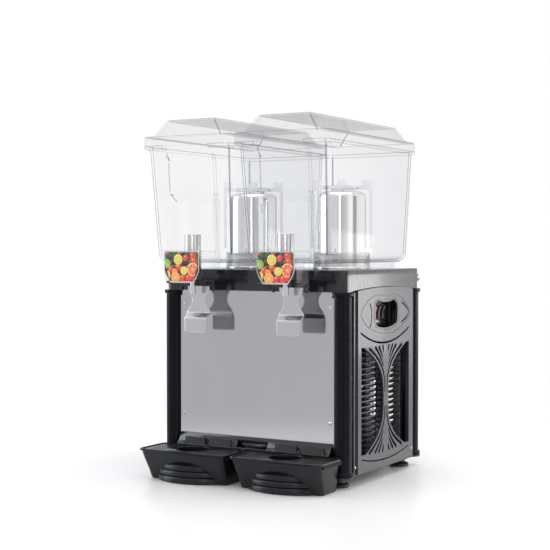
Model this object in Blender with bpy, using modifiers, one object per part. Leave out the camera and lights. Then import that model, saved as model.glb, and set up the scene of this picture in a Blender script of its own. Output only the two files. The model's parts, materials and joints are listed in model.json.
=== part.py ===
"""Twin-tank refrigerated drink dispenser, built as the real machine is put together.

Metres, +Z up, the front (taps, trays) towards -Y. The origin is on the floor, at the middle of the
footprint. Each object is one physical piece.
"""

import math

import bmesh
import bpy
from mathutils import Matrix, Vector

# ---------------------------------------------------------------- driving dimensions
GAP = 0.0003                        # clearance between pieces that rest on each other
SIDES = (("left", -1), ("right", 1))

POST_X, POST_FRONT, POST_REAR = 0.187, -0.108, 0.196
POST_R, COLLAR_R = 0.0165, 0.020
BASE_Z0, BASE_Z1 = 0.0190, 0.0222
POST_Z0, POST_Z1 = BASE_Z1 + GAP, 0.3625
CROWN_X, CROWN_FRONT, CROWN_REAR = 0.1995, -0.1195, 0.2105
CROWN_Z0, CROWN_Z1, CROWN_WALL, CROWN_TOP = 0.3628, 0.4035, 0.0025, 0.004
ARCH_Y, ARCH_HALF, ARCH_RISE = 0.0405, 0.150, 0.0078

PANEL_X0, PANEL_X1 = 0.2005, 0.2045
PANEL_Y0, PANEL_Y1 = -0.0800, 0.1615
FLANGE_X0, FLANGE_Y0, FLANGE_Y1 = 0.1965, -0.0898, 0.1778
FRONT_PANEL_Y0, FRONT_PANEL_Y1, FRONT_PANEL_X = -0.1120, -0.1105, 0.1705
REAR_PANEL_Y0, REAR_PANEL_Y1 = 0.2060, 0.2075

FOOT_X, FOOT_FRONT, FOOT_REAR, FOOT_R = 0.1695, -0.0905, 0.1790, 0.020

TANK_X = 0.102                      # tank centre line, each side of the middle
TANK_WALL, TANK_FLOOR = 0.0035, 0.004
TANK_Z0, TANK_Z1 = 0.4165, 0.6400
SKIRT_X, SKIRT_Y0, SKIRT_Y1, SKIRT_WALL = 0.078, -0.1545, 0.1450, 0.003
RIM_X, RIM_Y0, RIM_Y1 = 0.0990, -0.2015, 0.1990
LID_Z0, LID_Z1, LID_WALL = TANK_Z1 + GAP, 0.690, 0.0025
POCKET_X, POCKET_Y = 0.046, -0.1515  # recess in the tank's front wall, behind the tap

EVAP_Y, EVAP_R, EVAP_TOP = 0.0535, 0.049, 0.5575
AGITATOR_SPAN, AGITATOR_TURN = 0.058, 30.0

TAP_Y = -0.171                      # axis of the valve and its spout
SLEEVE_R, SLEEVE_BORE = 0.01575, 0.0118
SPOUT_R, SPOUT_Z = 0.00575, 0.357
PIVOT_Y, PIVOT_Z = -0.195, 0.380    # axis of the push lever
COVER_X0, COVER_X1 = 0.0395, 0.0415

TRAY_X, TRAY_HALF = 0.1015, 0.0965
TRAY_FRONT, TRAY_REAR, TRAY_RIM, TRAY_Z0 = -0.220, -0.1298, 0.0605, 0.0
GRID_HOLE_R = 0.0313

GRILLE_Y, WAIST_Z, WAIST_HALF, FLARE = 0.0415, 0.155, 0.0105, 79.6
SWITCH_X, SWITCH_Z = 0.184, 0.320
SWITCH_Y = (0.028, 0.048, 0.068)
FAN_Y, FAN_Z, FAN_R = 0.042, 0.150, 0.072
KNOB_X = 0.1905

# ---------------------------------------------------------------- scene, materials
for old in list(bpy.data.objects):
    bpy.data.objects.remove(old, do_unlink=True)

PARTS = bpy.data.collections.new("twin_tank_drink_dispenser")
CUTTERS = bpy.data.collections.new("cutters")
for group in (PARTS, CUTTERS):
    bpy.context.scene.collection.children.link(group)
CUTTERS.hide_render = True


def material(name, colour, metallic=0.0, roughness=0.4, alpha=1.0):
    made = bpy.data.materials.new(name)
    made.use_nodes = True
    shader = made.node_tree.nodes["Principled BSDF"]
    shader.inputs["Base Color"].default_value = (*colour, 1.0)
    shader.inputs["Metallic"].default_value = metallic
    shader.inputs["Roughness"].default_value = roughness
    shader.inputs["Alpha"].default_value = alpha
    made.diffuse_color = (*colour, alpha)
    made.metallic = metallic
    made.roughness = roughness
    return made


BLACK = material("black_plastic", (0.02, 0.02, 0.024), roughness=0.2)
TRAY_BLACK = material("tray_plastic", (0.03, 0.027, 0.028), roughness=0.35)
STEEL = material("stainless_steel", (0.62, 0.61, 0.63), metallic=1.0, roughness=0.22)
GALVANISED = material("galvanised_steel", (0.45, 0.46, 0.47), metallic=1.0, roughness=0.5)
PAINTED = material("painted_steel", (0.03, 0.03, 0.032), metallic=0.2, roughness=0.45)
ALUMINIUM = material("aluminium", (0.55, 0.56, 0.58), metallic=1.0, roughness=0.45)
CLEAR = material("clear_polycarbonate", (0.85, 0.88, 0.92), roughness=0.08, alpha=0.35)
WHITE = material("white_nylon", (0.82, 0.82, 0.80), roughness=0.45)
RUBBER = material("grey_silicone", (0.35, 0.35, 0.36), roughness=0.7)
RED = material("red_plastic", (0.75, 0.08, 0.09), roughness=0.3)
PICTURE = material("picture_insert", (0.80, 0.30, 0.12), roughness=0.3)


# ---------------------------------------------------------------- mesh helpers
def add(name, bm, skin=None):
    """A mesh object from bm: a sub-part with a material, or a helper that other pieces are cut with."""
    bmesh.ops.recalc_face_normals(bm, faces=bm.faces)
    mesh = bpy.data.meshes.new(name)
    bm.to_mesh(mesh)
    bm.free()
    obj = bpy.data.objects.new(name, mesh)
    if skin is None:
        obj.hide_render = True
        obj.display_type = "WIRE"
        CUTTERS.objects.link(obj)
    else:
        mesh.materials.append(skin)
        PARTS.objects.link(obj)
    return obj


def stack(name, rings, skin=None, closed=False):
    """Rings with the same number of points, joined in order. The ends are capped, or joined if closed."""
    bm = bmesh.new()
    loops = [[bm.verts.new(point) for point in ring] for ring in rings]
    count = len(loops[0])
    pairs = list(zip(loops, loops[1:]))
    if closed:
        pairs.append((loops[-1], loops[0]))
    for low, high in pairs:
        for i in range(count):
            j = (i + 1) % count
            bm.faces.new((low[i], low[j], high[j], high[i]))
    if not closed:
        bm.faces.new(loops[0])
        bm.faces.new(loops[-1])
    return add(name, bm, skin)


def prisms(name, axis, low, high, outlines, skin=None):
    """Flat outlines extruded along an axis. An outline is (y, z), (x, z) or (x, y) points."""
    order = {"X": lambda a, b, t: (t, a, b), "Y": lambda a, b, t: (a, t, b), "Z": lambda a, b, t: (a, b, t)}
    place = order[axis]
    bm = bmesh.new()
    for outline in outlines:
        near = [bm.verts.new(place(a, b, low)) for a, b in outline]
        far = [bm.verts.new(place(a, b, high)) for a, b in outline]
        bm.faces.new(near)
        bm.faces.new(far)
        for i in range(len(outline)):
            j = (i + 1) % len(outline)
            bm.faces.new((near[i], near[j], far[j], far[i]))
    return add(name, bm, skin)


def boxes(name, extents, skin=None):
    """Boxes, each given as (x0, x1, y0, y1, z0, z1)."""
    bm = bmesh.new()
    for x0, x1, y0, y1, z0, z1 in extents:
        size = Matrix.Diagonal((x1 - x0, y1 - y0, z1 - z0, 1))
        middle = Matrix.Translation(((x0 + x1) / 2, (y0 + y1) / 2, (z0 + z1) / 2))
        bmesh.ops.create_cube(bm, size=1.0, matrix=middle @ size)
    return add(name, bm, skin)


def lathe(name, profile, centre, skin=None, steps=28, axis="Z"):
    """A closed (radius, height) profile turned about an axis through centre with a Screw modifier.

    Points run from the top down the outer side. A profile that starts and ends on the axis is a solid of
    revolution; any other is closed into a ring.
    """
    bm = bmesh.new()
    points = [bm.verts.new((radius, 0, height)) for radius, height in profile]
    for first, second in zip(points, points[1:]):
        bm.edges.new((first, second))
    if profile[0][0] > 0 or profile[-1][0] > 0:
        bm.edges.new((points[-1], points[0]))
    mesh = bpy.data.meshes.new(name)
    bm.to_mesh(mesh)
    bm.free()
    obj = bpy.data.objects.new(name, mesh)
    (CUTTERS if skin is None else PARTS).objects.link(obj)
    if skin is None:
        obj.hide_render = True
        obj.display_type = "WIRE"
    else:
        mesh.materials.append(skin)
    turn = obj.modifiers.new("turn", "SCREW")
    turn.steps = turn.render_steps = steps
    turn.use_merge_vertices = True
    turn.merge_threshold = 0.0001
    turns = {"Z": Matrix(), "X": Matrix.Rotation(math.pi / 2, 4, "Y"), "Y": Matrix.Rotation(-math.pi / 2, 4, "X")}
    obj.matrix_world = Matrix.Translation(centre) @ turns[axis]
    return obj


def disc(name, radius, low, high, centre, axis, steps=16):
    """A plain cylinder used as a helper, from low to high along its axis."""
    profile = [(0, high), (radius, high), (radius, low), (0, low)]
    return lathe(name, profile, centre, None, steps, axis)


def boolean(obj, helper, operation):
    step = obj.modifiers.new(helper.name, "BOOLEAN")
    step.operation = operation
    step.solver = "EXACT"
    step.object = helper
    return obj


def cut(obj, *helpers):
    for helper in helpers:
        boolean(obj, helper, "DIFFERENCE")
    return obj


def join(obj, *helpers):
    for helper in helpers:
        boolean(obj, helper, "UNION")
    return obj


def pivot(obj, point):
    """Puts the origin on the joint's axis and leaves the shape where it is."""
    obj.data.transform(Matrix.Translation(-Vector(point)))
    obj.location = point
    return obj


def rounded(z, x0, x1, y0, y1, radius, corner=3):
    """One horizontal ring: a rectangle with round corners."""
    centres = (
        (x1 - radius, y1 - radius, 0),
        (x0 + radius, y1 - radius, 90),
        (x0 + radius, y0 + radius, 180),
        (x1 - radius, y0 + radius, 270),
    )
    ring = []
    for x, y, start in centres:
        for k in range(corner + 1):
            angle = math.radians(start + 90 * k / corner)
            ring.append((x + radius * math.cos(angle), y + radius * math.sin(angle), z))
    return ring


def ribbon(points, width):
    """The outline of a line of constant width through the points."""
    left, right = [], []
    for i, (a, b) in enumerate(points):
        before, after = points[max(i - 1, 0)], points[min(i + 1, len(points) - 1)]
        along = Vector((after[0] - before[0], after[1] - before[1])).normalized()
        left.append((a - along.y * width / 2, b + along.x * width / 2))
        right.append((a + along.y * width / 2, b - along.x * width / 2))
    return left + right[::-1]


def arc(centre, radius, start, end, count):
    """Points on a circle, angles in degrees."""
    steps = [math.radians(start + (end - start) * k / count) for k in range(count + 1)]
    return [(centre[0] + radius * math.cos(a), centre[1] + radius * math.sin(a)) for a in steps]


# ---------------------------------------------------------------- cabinet
def base_pan():
    corners = [(sx * POST_X, y) for sx in (-1, 1) for y in (POST_FRONT, POST_REAR)]
    plate = rounded(BASE_Z0, -0.1985, 0.1985, POST_FRONT - 0.0095, POST_REAR + 0.0095, 0.010, 2)
    top = [(x, y, BASE_Z1) for x, y, _ in plate]
    pan = stack("base_pan", [plate, top], PAINTED)
    for i, (x, y) in enumerate(corners):
        join(pan, disc(f"pan_corner_{i}", COLLAR_R, BASE_Z0, BASE_Z1, (x, y, 0), "Z", 20))
    for name, y in (("front", FRONT_PANEL_Y1 + GAP), ("rear", REAR_PANEL_Y0 - GAP - 0.002)):
        join(pan, boxes(f"pan_flange_{name}", [(-0.165, 0.165, y, y + 0.002, BASE_Z0 + 0.001, 0.040)]))
    for i, (x, y) in enumerate((sx * FOOT_X, y) for sx in (-1, 1) for y in (FOOT_FRONT, FOOT_REAR)):
        cut(pan, disc(f"pan_foot_hole_{i}", 0.0046, 0.01, 0.03, (x, y, 0), "Z", 12))
    vents = [(x, x + 0.008, -0.060, 0.040, 0.01, 0.03) for x in (-0.06, -0.04, -0.02, 0.0, 0.02, 0.04)]
    cut(pan, boxes("pan_vents", vents))


def posts():
    profile = [
        (0, POST_Z1), (COLLAR_R, POST_Z1),
        (COLLAR_R, POST_Z1 - 0.0065), (POST_R, POST_Z1 - 0.0085), (POST_R, 0.0315),
        (COLLAR_R, 0.0295), (COLLAR_R, POST_Z0), (0, POST_Z0),
    ]
    for side, s in SIDES:
        for end, y in (("front", POST_FRONT), ("rear", POST_REAR)):
            lathe(f"post_{end}_{side}", profile, (s * POST_X, y, 0), BLACK, 24)


def feet():
    profile = [
        (0, 0.034), (0.004, 0.034), (0.004, 0.0187), (0.0125, 0.0187), (0.0125, 0.0085),
        (FOOT_R, 0.0055), (FOOT_R, 0.0), (0, 0.0),
    ]
    for side, s in SIDES:
        for end, y in (("front", FOOT_FRONT), ("rear", FOOT_REAR)):
            lathe(f"foot_{end}_{side}", profile, (s * FOOT_X, y, 0), BLACK, 20)


def flat_panels():
    extent = (-FRONT_PANEL_X, FRONT_PANEL_X, FRONT_PANEL_Y0, FRONT_PANEL_Y1, BASE_Z1 + GAP, 0.3980)
    front = boxes("front_panel", [extent], STEEL)
    notches = [
        (a, b, -0.13, -0.10, z0, z1)
        for a, b in ((-0.18, -0.1665), (0.1665, 0.18))
        for z0, z1 in ((0.01, 0.0335), (0.3520, 0.41))
    ]
    cut(front, boxes("collar_notches", notches))
    rear = boxes("rear_panel", [(-0.1685, 0.1685, REAR_PANEL_Y0, REAR_PANEL_Y1, BASE_Z1 + GAP, 0.3980)], PAINTED)
    louvres = [
        (x, x + 0.085, 0.20, 0.21, 0.12 + 0.016 * k, 0.126 + 0.016 * k)
        for x in (-0.120, 0.035)
        for k in range(9)
    ]
    cut(rear, boxes("rear_louvres", louvres))
    cut(rear, disc("rear_gland_hole", 0.0085, 0.19, 0.22, (-0.120, 0, 0.055), "Y", 16))


def arch(y):
    """Height of the curved joint between a side panel and the crown."""
    return CROWN_Z0 + ARCH_RISE * max(0.0, 1 - ((y - ARCH_Y) / ARCH_HALF) ** 2)


def crown():
    outer = [
        rounded(z, -CROWN_X + r, CROWN_X - r, CROWN_FRONT + r, CROWN_REAR - r, 0.0115 - r, 4)
        for z, r in ((CROWN_Z0, 0), (CROWN_Z1 - 0.002, 0), (CROWN_Z1, 0.0015))
    ]
    shell = stack("crown", outer, BLACK)
    wall = CROWN_WALL
    inner = [
        rounded(z, -CROWN_X + wall, CROWN_X - wall, CROWN_FRONT + wall, CROWN_REAR - wall, 0.009, 2)
        for z in (CROWN_Z0 - 0.01, CROWN_Z1 - CROWN_TOP)
    ]
    cut(shell, stack("crown_hollow", inner))
    low, high = ARCH_Y - ARCH_HALF, ARCH_Y + ARCH_HALF
    edge = [(low + (high - low) * k / 16, arch(low + (high - low) * k / 16)) for k in range(17)]
    outline = [(low, CROWN_Z0 - 0.01)] + edge + [(high, CROWN_Z0 - 0.01)]
    for side, s in SIDES:
        x0, x1 = sorted((s * 0.19, s * 0.21))
        cut(shell, prisms(f"crown_arch_{side}", "X", x0, x1, [outline]))
        cut(shell, disc(f"crown_shaft_hole_{side}", 0.009, 0.39, 0.41, (s * TANK_X, EVAP_Y, 0), "Z"))
    cut(shell, disc("crown_knob_hole", 0.0038, 0.20, 0.22, (KNOB_X, 0, 0.384), "Y", 12))


def splash_deck():
    shell = [
        (-0.1123, 0.0820), (-0.1150, 0.0820), (-0.1225, 0.0665), (-0.1295, 0.0615), (-0.1295, 0.0225),
        (-0.1270, 0.0225), (-0.1270, 0.0590), (-0.1205, 0.0640), (-0.1148, 0.0755), (-0.1123, 0.0755),
    ]
    deck = prisms("splash_deck", "X", -0.168, 0.168, [shell], BLACK)
    for side, s in SIDES:
        middle = s * TRAY_X + 0.003
        for i, (x0, x1) in enumerate(((-0.050, -0.004), (0.008, 0.054))):
            block = [(middle + x0, middle + x1, -0.1290, -0.1235, 0.0560, 0.0755)]
            join(deck, boxes(f"deck_stop_{side}_{i}", block))
    cut(deck, boxes("deck_drain", [(-0.034, 0.034, -0.1275, -0.1175, 0.050, 0.076)]))


# ---------------------------------------------------------------- side panels with grille and switches
def grille_half(z):
    return WAIST_HALF + FLARE * abs(z - WAIST_Z) ** 3


def grille_openings():
    """Outlines, as (y, z), of every opening in the lower part of a side panel."""
    outlines = []
    heights = [0.056 + (0.258 - 0.056) * k / 14 for k in range(15)]
    for sign, limit in ((-1, -0.0660), (1, 0.1495)):
        curve = [(GRILLE_Y + sign * grille_half(z), z) for z in heights]
        inside = [(y, z) for y, z in curve if (y - limit) * sign < -0.002]
        outlines.append([(limit, inside[0][1])] + inside + [(limit, inside[-1][1])])
    for share, upper, lower in ((0.80, 0.182, 0.128), (0.58, 0.206, 0.102), (0.37, 0.224, 0.084),
                                (0.17, 0.240, 0.068)):
        for sign in (-1, 1):
            for first, last in ((upper, 0.2535 + 0.004 * share), (lower, 0.058 - 0.006 * (1 - share))):
                steps = [first + (last - first) * k / 3 for k in range(4)]
                outlines.append(ribbon(
                    [(GRILLE_Y + sign * (0.003 + share * (grille_half(z) - 0.003)), z) for z in steps], 0.0022
                ))
    for z in (0.1945, 0.1595, 0.1225):
        outlines.append([(GRILLE_Y + a, z + b) for a, b in ((-0.0012, -0.002), (0.0012, -0.002),
                                                            (0.0012, 0.002), (-0.0012, 0.002))])
    smile = [(GRILLE_Y + t, 0.0365 + 1.05 * t * t) for t in (-0.108, -0.081, -0.054, -0.027, 0, 0.027, 0.054,
                                                             0.081, 0.106)]
    outlines.append(ribbon(smile, 0.0024))
    return outlines


def eye_slots():
    """Decorative slots round the switch window."""
    below = [(0.0395 + t, 0.2620 + 2.05 * t * t) for t in (-0.108, -0.081, -0.054, -0.027, 0, 0.027, 0.054,
                                                          0.081, 0.108)]
    crescent = [(-0.0290, 0.3385), (-0.0235, 0.3290), (-0.0220, 0.3170), (-0.0235, 0.3050), (-0.0290, 0.2955)]
    chevron = [(0.1155, 0.3370), (0.1380, 0.3270), (0.1475, 0.3170), (0.1380, 0.3070), (0.1130, 0.2980)]
    return [ribbon(below, 0.0032), ribbon(crescent, 0.0030), ribbon(chevron, 0.0028)]


def switch_window():
    top = [(0.0060, 0.3450), (0.0250, 0.3412), (0.0450, 0.3400), (0.0640, 0.3415), (0.0810, 0.3445)]
    right = [(0.0955, 0.3340), (0.0960, 0.3160), (0.0935, 0.2990)]
    bottom = [(0.0680, 0.2925), (0.0410, 0.2905), (0.0150, 0.2925), (-0.0020, 0.2970)]
    return top + right + bottom + [(-0.0055, 0.3160), (-0.0040, 0.3380)]


def side_panels():
    count = 12
    for side, s in SIDES:
        x0, x1 = sorted((s * PANEL_X0, s * PANEL_X1))
        ys = [PANEL_Y1 + (PANEL_Y0 - PANEL_Y1) * k / count for k in range(count + 1)]
        face = [(PANEL_Y0, BASE_Z1 + GAP), (PANEL_Y1, BASE_Z1 + GAP)] + [(y, arch(y) - 0.0006) for y in ys]
        panel = prisms(f"side_panel_{side}", "X", x0, x1, [face], BLACK)
        f0, f1 = sorted((s * FLANGE_X0, s * (PANEL_X0 + 0.0008)))
        flange = boxes(f"panel_flange_{side}", [(f0, f1, FLANGE_Y0, FLANGE_Y1, BASE_Z1 + GAP, CROWN_Z0 - 0.0006)])
        w0, w1 = sorted((s * 0.190, s * PANEL_X0))
        cut(flange, boxes(f"flange_window_{side}", [(w0, w1, -0.0672, 0.1506, 0.0345, 0.3540)]))
        join(panel, flange)
        c0, c1 = sorted((s * 0.190, s * 0.210))
        cut(panel, prisms(f"grille_{side}", "X", c0, c1, grille_openings() + eye_slots()))
        if s > 0:
            cut(panel, prisms("switch_window", "X", c0, c1, [switch_window()]))


def switches():
    back, front = 0.1805, PANEL_X0 - GAP
    bowl = boxes("switch_bowl", [(back, front, -0.0115, 0.1050, 0.2860, 0.3500)], BLACK)
    cut(bowl, boxes("bowl_inside", [(back + 0.0025, front + 0.01, -0.0095, 0.1030, 0.2880, 0.3480)]))
    holes = [(back - 0.01, back + 0.01, y - 0.0066, y + 0.0066, SWITCH_Z - 0.0135, SWITCH_Z + 0.0135)
             for y in SWITCH_Y]
    cut(bowl, boxes("bowl_switch_holes", holes))
    shape = [(-0.0045, -0.0095), (-0.0045, 0.0095), (0.0035, 0.0120), (0.0050, 0.0115), (0.0028, 0.0),
             (0.0050, -0.0115), (0.0035, -0.0120)]
    for i, y in enumerate(SWITCH_Y):
        rocker = prisms(f"rocker_{i + 1}", "Y", -0.0060, 0.0060, [shape], RED if i == 0 else BLACK)
        rocker.matrix_world = Matrix.Translation((SWITCH_X, y, SWITCH_Z)) @ Matrix.Rotation(math.radians(8), 4, "Y")


# ---------------------------------------------------------------- cooling unit inside the cabinet
def compressor():
    centre = (-0.085, 0.115, 0)
    profile = [
        (0, 0.150), (0.024, 0.148), (0.043, 0.139), (0.053, 0.120), (0.053, 0.094), (0.056, 0.094),
        (0.056, 0.088), (0.053, 0.088), (0.053, 0.045), (0.042, 0.025), (0, 0.025),
    ]
    can = lathe("compressor", profile, centre, PAINTED, 24)
    plate = (centre[0] - 0.062, centre[0] + 0.062, centre[1] - 0.050, centre[1] + 0.050, BASE_Z1 + GAP, 0.0262)
    join(can, boxes("compressor_plate", [plate]))


def condenser():
    y0, y1, rows, pitch = -0.062, 0.166, 24, 0.0105
    bottom = BASE_Z1 + GAP
    core = boxes("condenser", [(0.1510, 0.1780, y0, y1, bottom, bottom + rows * pitch)], ALUMINIUM)
    slots = [
        (0.140, 0.190, y0 + 0.003, y1 - 0.003, bottom + k * pitch + 0.0018, bottom + (k + 1) * pitch)
        for k in range(rows - 1)
    ]
    cut(core, boxes("condenser_slots", slots))


def fan():
    bottom, top = BASE_Z1 + GAP, 0.2740
    shroud = boxes("fan_shroud", [(0.1475, 0.1507, -0.062, 0.146, bottom, top)], GALVANISED)
    ring = [(FAN_R + 0.009, 0.1490), (FAN_R + 0.009, 0.1300), (FAN_R + 0.0065, 0.1300), (FAN_R + 0.0065, 0.1490)]
    join(shroud, lathe("shroud_ring", ring, (0, FAN_Y, FAN_Z), None, 32, "X"))
    cut(shroud, disc("shroud_hole", FAN_R + 0.0065, 0.10, 0.16, (0, FAN_Y, FAN_Z), "X", 32))
    motor = lathe(
        "fan_motor",
        [(0, 0.1305), (0.004, 0.1305), (0.004, 0.1240), (0.020, 0.1240), (0.024, 0.1200), (0.024, 0.0960),
         (0.020, 0.0920), (0, 0.0920)],
        (0, FAN_Y, FAN_Z), PAINTED, 24, "X",
    )
    strap = [(0.1140, 0.1170, FAN_Y - 0.014, FAN_Y + 0.014, bottom, FAN_Z)]
    join(motor, boxes("motor_strap", strap))
    join(motor, boxes("motor_foot", [(0.0950, 0.1170, FAN_Y - 0.020, FAN_Y + 0.020, bottom, bottom + 0.003)]))
    hub = lathe(
        "fan_blade",
        [(0, 0.1450), (0.012, 0.1450), (0.014, 0.1430), (0.014, 0.1310), (0, 0.1310)],
        (0, FAN_Y, FAN_Z), ALUMINIUM, 20, "X",
    )
    for k in range(5):
        blade = boxes(f"blade_{k}", [(-0.0006, 0.0006, -0.014, 0.014, 0.010, FAN_R)])
        spin = Matrix.Rotation(math.radians(72 * k), 4, "X") @ Matrix.Rotation(math.radians(22), 4, "Z")
        blade.matrix_world = Matrix.Translation((0.1380, FAN_Y, FAN_Z)) @ spin
        join(hub, blade)


# ---------------------------------------------------------------- cold column, drive and stirrer
def cold_columns():
    for side, s in SIDES:
        at = (s * TANK_X, EVAP_Y, 0)
        low = CROWN_Z1 + GAP
        column = [
            (0, EVAP_TOP), (0.036, EVAP_TOP - 0.0015), (0.045, EVAP_TOP - 0.0045),
            (EVAP_R, EVAP_TOP - 0.010), (EVAP_R, low + 0.003), (0.058, low + 0.003), (0.058, low),
            (EVAP_R - 0.0015, low), (EVAP_R - 0.0015, EVAP_TOP - 0.0105), (0.044, EVAP_TOP - 0.0065),
            (0, EVAP_TOP - 0.0030),
        ]
        lathe(f"evaporator_{side}", column, at, STEEL, 26)
        seal = [(0.0545, 0.4360), (0.0562, 0.4340), (0.0562, low + 0.0033), (EVAP_R + 0.0004, low + 0.0033),
                (EVAP_R + 0.0004, 0.4360)]
        lathe(f"tank_seal_{side}", seal, at, RUBBER, 26)
        rotor = [(0, 0.5520), (0.028, 0.5520), (0.028, 0.5400), (0.004, 0.5400), (0.004, CROWN_Z1 - CROWN_TOP),
                 (0, CROWN_Z1 - CROWN_TOP)]
        lathe(f"drive_rotor_{side}", rotor, at, GALVANISED, 20)
        top = CROWN_Z1 - CROWN_TOP - GAP
        motor = [(0, top), (0.034, top), (0.034, top - 0.004), (0.027, top - 0.004), (0.027, 0.3560),
                 (0.024, 0.3530), (0, 0.3530)]
        lathe(f"stirrer_motor_{side}", motor, at, PAINTED, 24)


def agitators():
    for side, s in SIDES:
        hub = lathe(
            f"agitator_{side}",
            [(0, 0.5800), (0.007, 0.5785), (0.009, 0.5740), (0.009, 0.5670), (0.030, 0.5660), (0.030, 0.5605),
             (0.006, 0.5605), (0.006, EVAP_TOP + GAP), (0, EVAP_TOP + GAP)],
            (s * TANK_X, EVAP_Y, 0), WHITE, 20,
        )
        bar = boxes(f"stirrer_bar_{side}", [(-0.061, 0.061, -0.0050, 0.0050, 0.5610, 0.5680)])
        arms = boxes(f"stirrer_arms_{side}", [
            (sign * AGITATOR_SPAN - 0.0030, sign * AGITATOR_SPAN + 0.0030, -0.0030, 0.0030, 0.4450, 0.5665)
            for sign in (-1, 1)
        ])
        ends = boxes(f"stirrer_ends_{side}", [
            (sign * 0.051 - 0.0095, sign * 0.051 + 0.0095, -0.0040, 0.0040, 0.5670, 0.5790) for sign in (-1, 1)
        ])
        for helper in (bar, arms, ends):
            turn = Matrix.Rotation(math.radians(AGITATOR_TURN), 4, "Z")
            helper.matrix_world = Matrix.Translation((s * TANK_X, EVAP_Y, 0)) @ turn
            join(hub, helper)


# ---------------------------------------------------------------- tanks and lids
def tank_rings(middle, inset, bottom, top):
    """Rings of the tank body, moved inwards by inset."""
    shape = (
        (0.4165, 0.0765, -0.1565, 0.1625, 0.018), (0.4185, 0.0815, -0.1615, 0.1690, 0.018),
        (0.4240, 0.0860, -0.1660, 0.1750, 0.018), (0.4350, 0.0885, -0.1685, 0.1780, 0.017),
        (0.6340, 0.0955, -0.1870, 0.1890, 0.016),
    )
    rings = []
    for z, half, y0, y1, radius in shape:
        z = bottom if z == shape[0][0] else top if z == shape[-1][0] else z + inset
        rings.append(rounded(z, middle - half + inset, middle + half - inset, y0 + inset, y1 - inset,
                             radius - inset / 2, 3))
    return rings


def pocket(name, middle, grow):
    shape = ((0.380, POCKET_X, POCKET_Y), (0.532, POCKET_X, POCKET_Y), (0.549, 0.052, -0.1715),
             (0.614, 0.052, -0.1765), (0.626, 0.049, -0.1880))
    rings = []
    for z, half, y in shape:
        lift = grow if z > 0.54 else 0
        rings.append(rounded(z + lift, middle - half - grow, middle + half + grow, -0.26, y + grow, 0.008, 2))
    return stack(name, rings)


def tanks():
    for side, s in SIDES:
        x = s * TANK_X
        tank = stack(f"tank_{side}", tank_rings(x, 0.0, TANK_Z0, TANK_Z1 - 0.003), CLEAR)
        flange = [rounded(z, x - RIM_X, x + RIM_X, RIM_Y0, RIM_Y1, 0.016, 3) for z in (0.6345, TANK_Z1)]
        join(tank, stack(f"tank_rim_{side}", flange))
        skirt = [
            rounded(z, x - SKIRT_X, x + SKIRT_X, SKIRT_Y0, SKIRT_Y1, 0.016, 3)
            for z in (CROWN_Z1 + GAP, TANK_Z0 + 0.0025)
        ]
        join(tank, stack(f"tank_skirt_{side}", skirt))
        hollow = SKIRT_WALL
        under = [
            rounded(z, x - SKIRT_X + hollow, x + SKIRT_X - hollow, SKIRT_Y0 + hollow, SKIRT_Y1 - hollow, 0.013, 3)
            for z in (CROWN_Z1 - 0.01, TANK_Z0)
        ]
        cut(tank, stack(f"skirt_hollow_{side}", under))
        cut(tank, pocket(f"tank_pocket_{side}", x, 0.0))
        cavity = stack(f"tank_cavity_{side}", tank_rings(x, TANK_WALL, TANK_Z0 + TANK_FLOOR, TANK_Z1 + 0.01))
        cut(cavity, pocket(f"pocket_wall_{side}", x, TANK_WALL))
        cut(tank, cavity)
        collar = [(0.0602, 0.4320), (0.0602, TANK_Z0 + 0.001), (0.0568, TANK_Z0 + 0.001), (0.0568, 0.4320)]
        join(tank, lathe(f"tank_collar_{side}", collar, (x, EVAP_Y, 0), None, 28))
        cut(tank, disc(f"tank_floor_hole_{side}", 0.0568, 0.41, 0.45, (x, EVAP_Y, 0), "Z", 28))
        boss_end = TAP_Y + SLEEVE_R + GAP
        join(tank, disc(f"outlet_boss_{side}", 0.0080, boss_end, POCKET_Y + 0.002, (x, 0, 0.4300), "Y", 16))
        cut(tank, disc(f"outlet_bore_{side}", 0.0040, boss_end - 0.01, POCKET_Y + 0.01, (x, 0, 0.4300), "Y", 12))


def lid_rings(middle, inset, bottom):
    shape = (
        (0.6560, 0.0825, -0.1950, 0.1965, 0.014), (0.6860, 0.0600, -0.1815, 0.1920, 0.013),
        (0.6885, 0.0575, -0.1795, 0.1900, 0.012), (LID_Z1, 0.0540, -0.1765, 0.1870, 0.011),
    )
    rings = []
    for z, half, y0, y1, radius in shape:
        z = bottom if z == shape[0][0] else z - inset
        rings.append(rounded(z, middle - half + inset, middle + half - inset, y0 + inset, y1 - inset,
                             radius - inset / 2, 3))
    return rings


def lids():
    for side, s in SIDES:
        x = s * TANK_X
        edge = [
            rounded(z, x - RIM_X + r, x + RIM_X - r, RIM_Y0 + r, RIM_Y1 - r, 0.016 - r, 3)
            for z, r in ((LID_Z0, 0), (0.6555, 0), (0.6575, 0.0015))
        ]
        lid = stack(f"lid_{side}", edge, CLEAR)
        join(lid, stack(f"lid_dome_{side}", lid_rings(x, 0.0, 0.6560)))
        under = [
            rounded(z, x - RIM_X + LID_WALL, x + RIM_X - LID_WALL, RIM_Y0 + LID_WALL, RIM_Y1 - LID_WALL, 0.0145, 3)
            for z in (LID_Z0 - 0.01, 0.6575 - LID_WALL)
        ]
        cut(lid, stack(f"lid_skirt_hollow_{side}", under))
        cut(lid, stack(f"lid_dome_hollow_{side}", lid_rings(x, LID_WALL, LID_Z0 - 0.005)))


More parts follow.
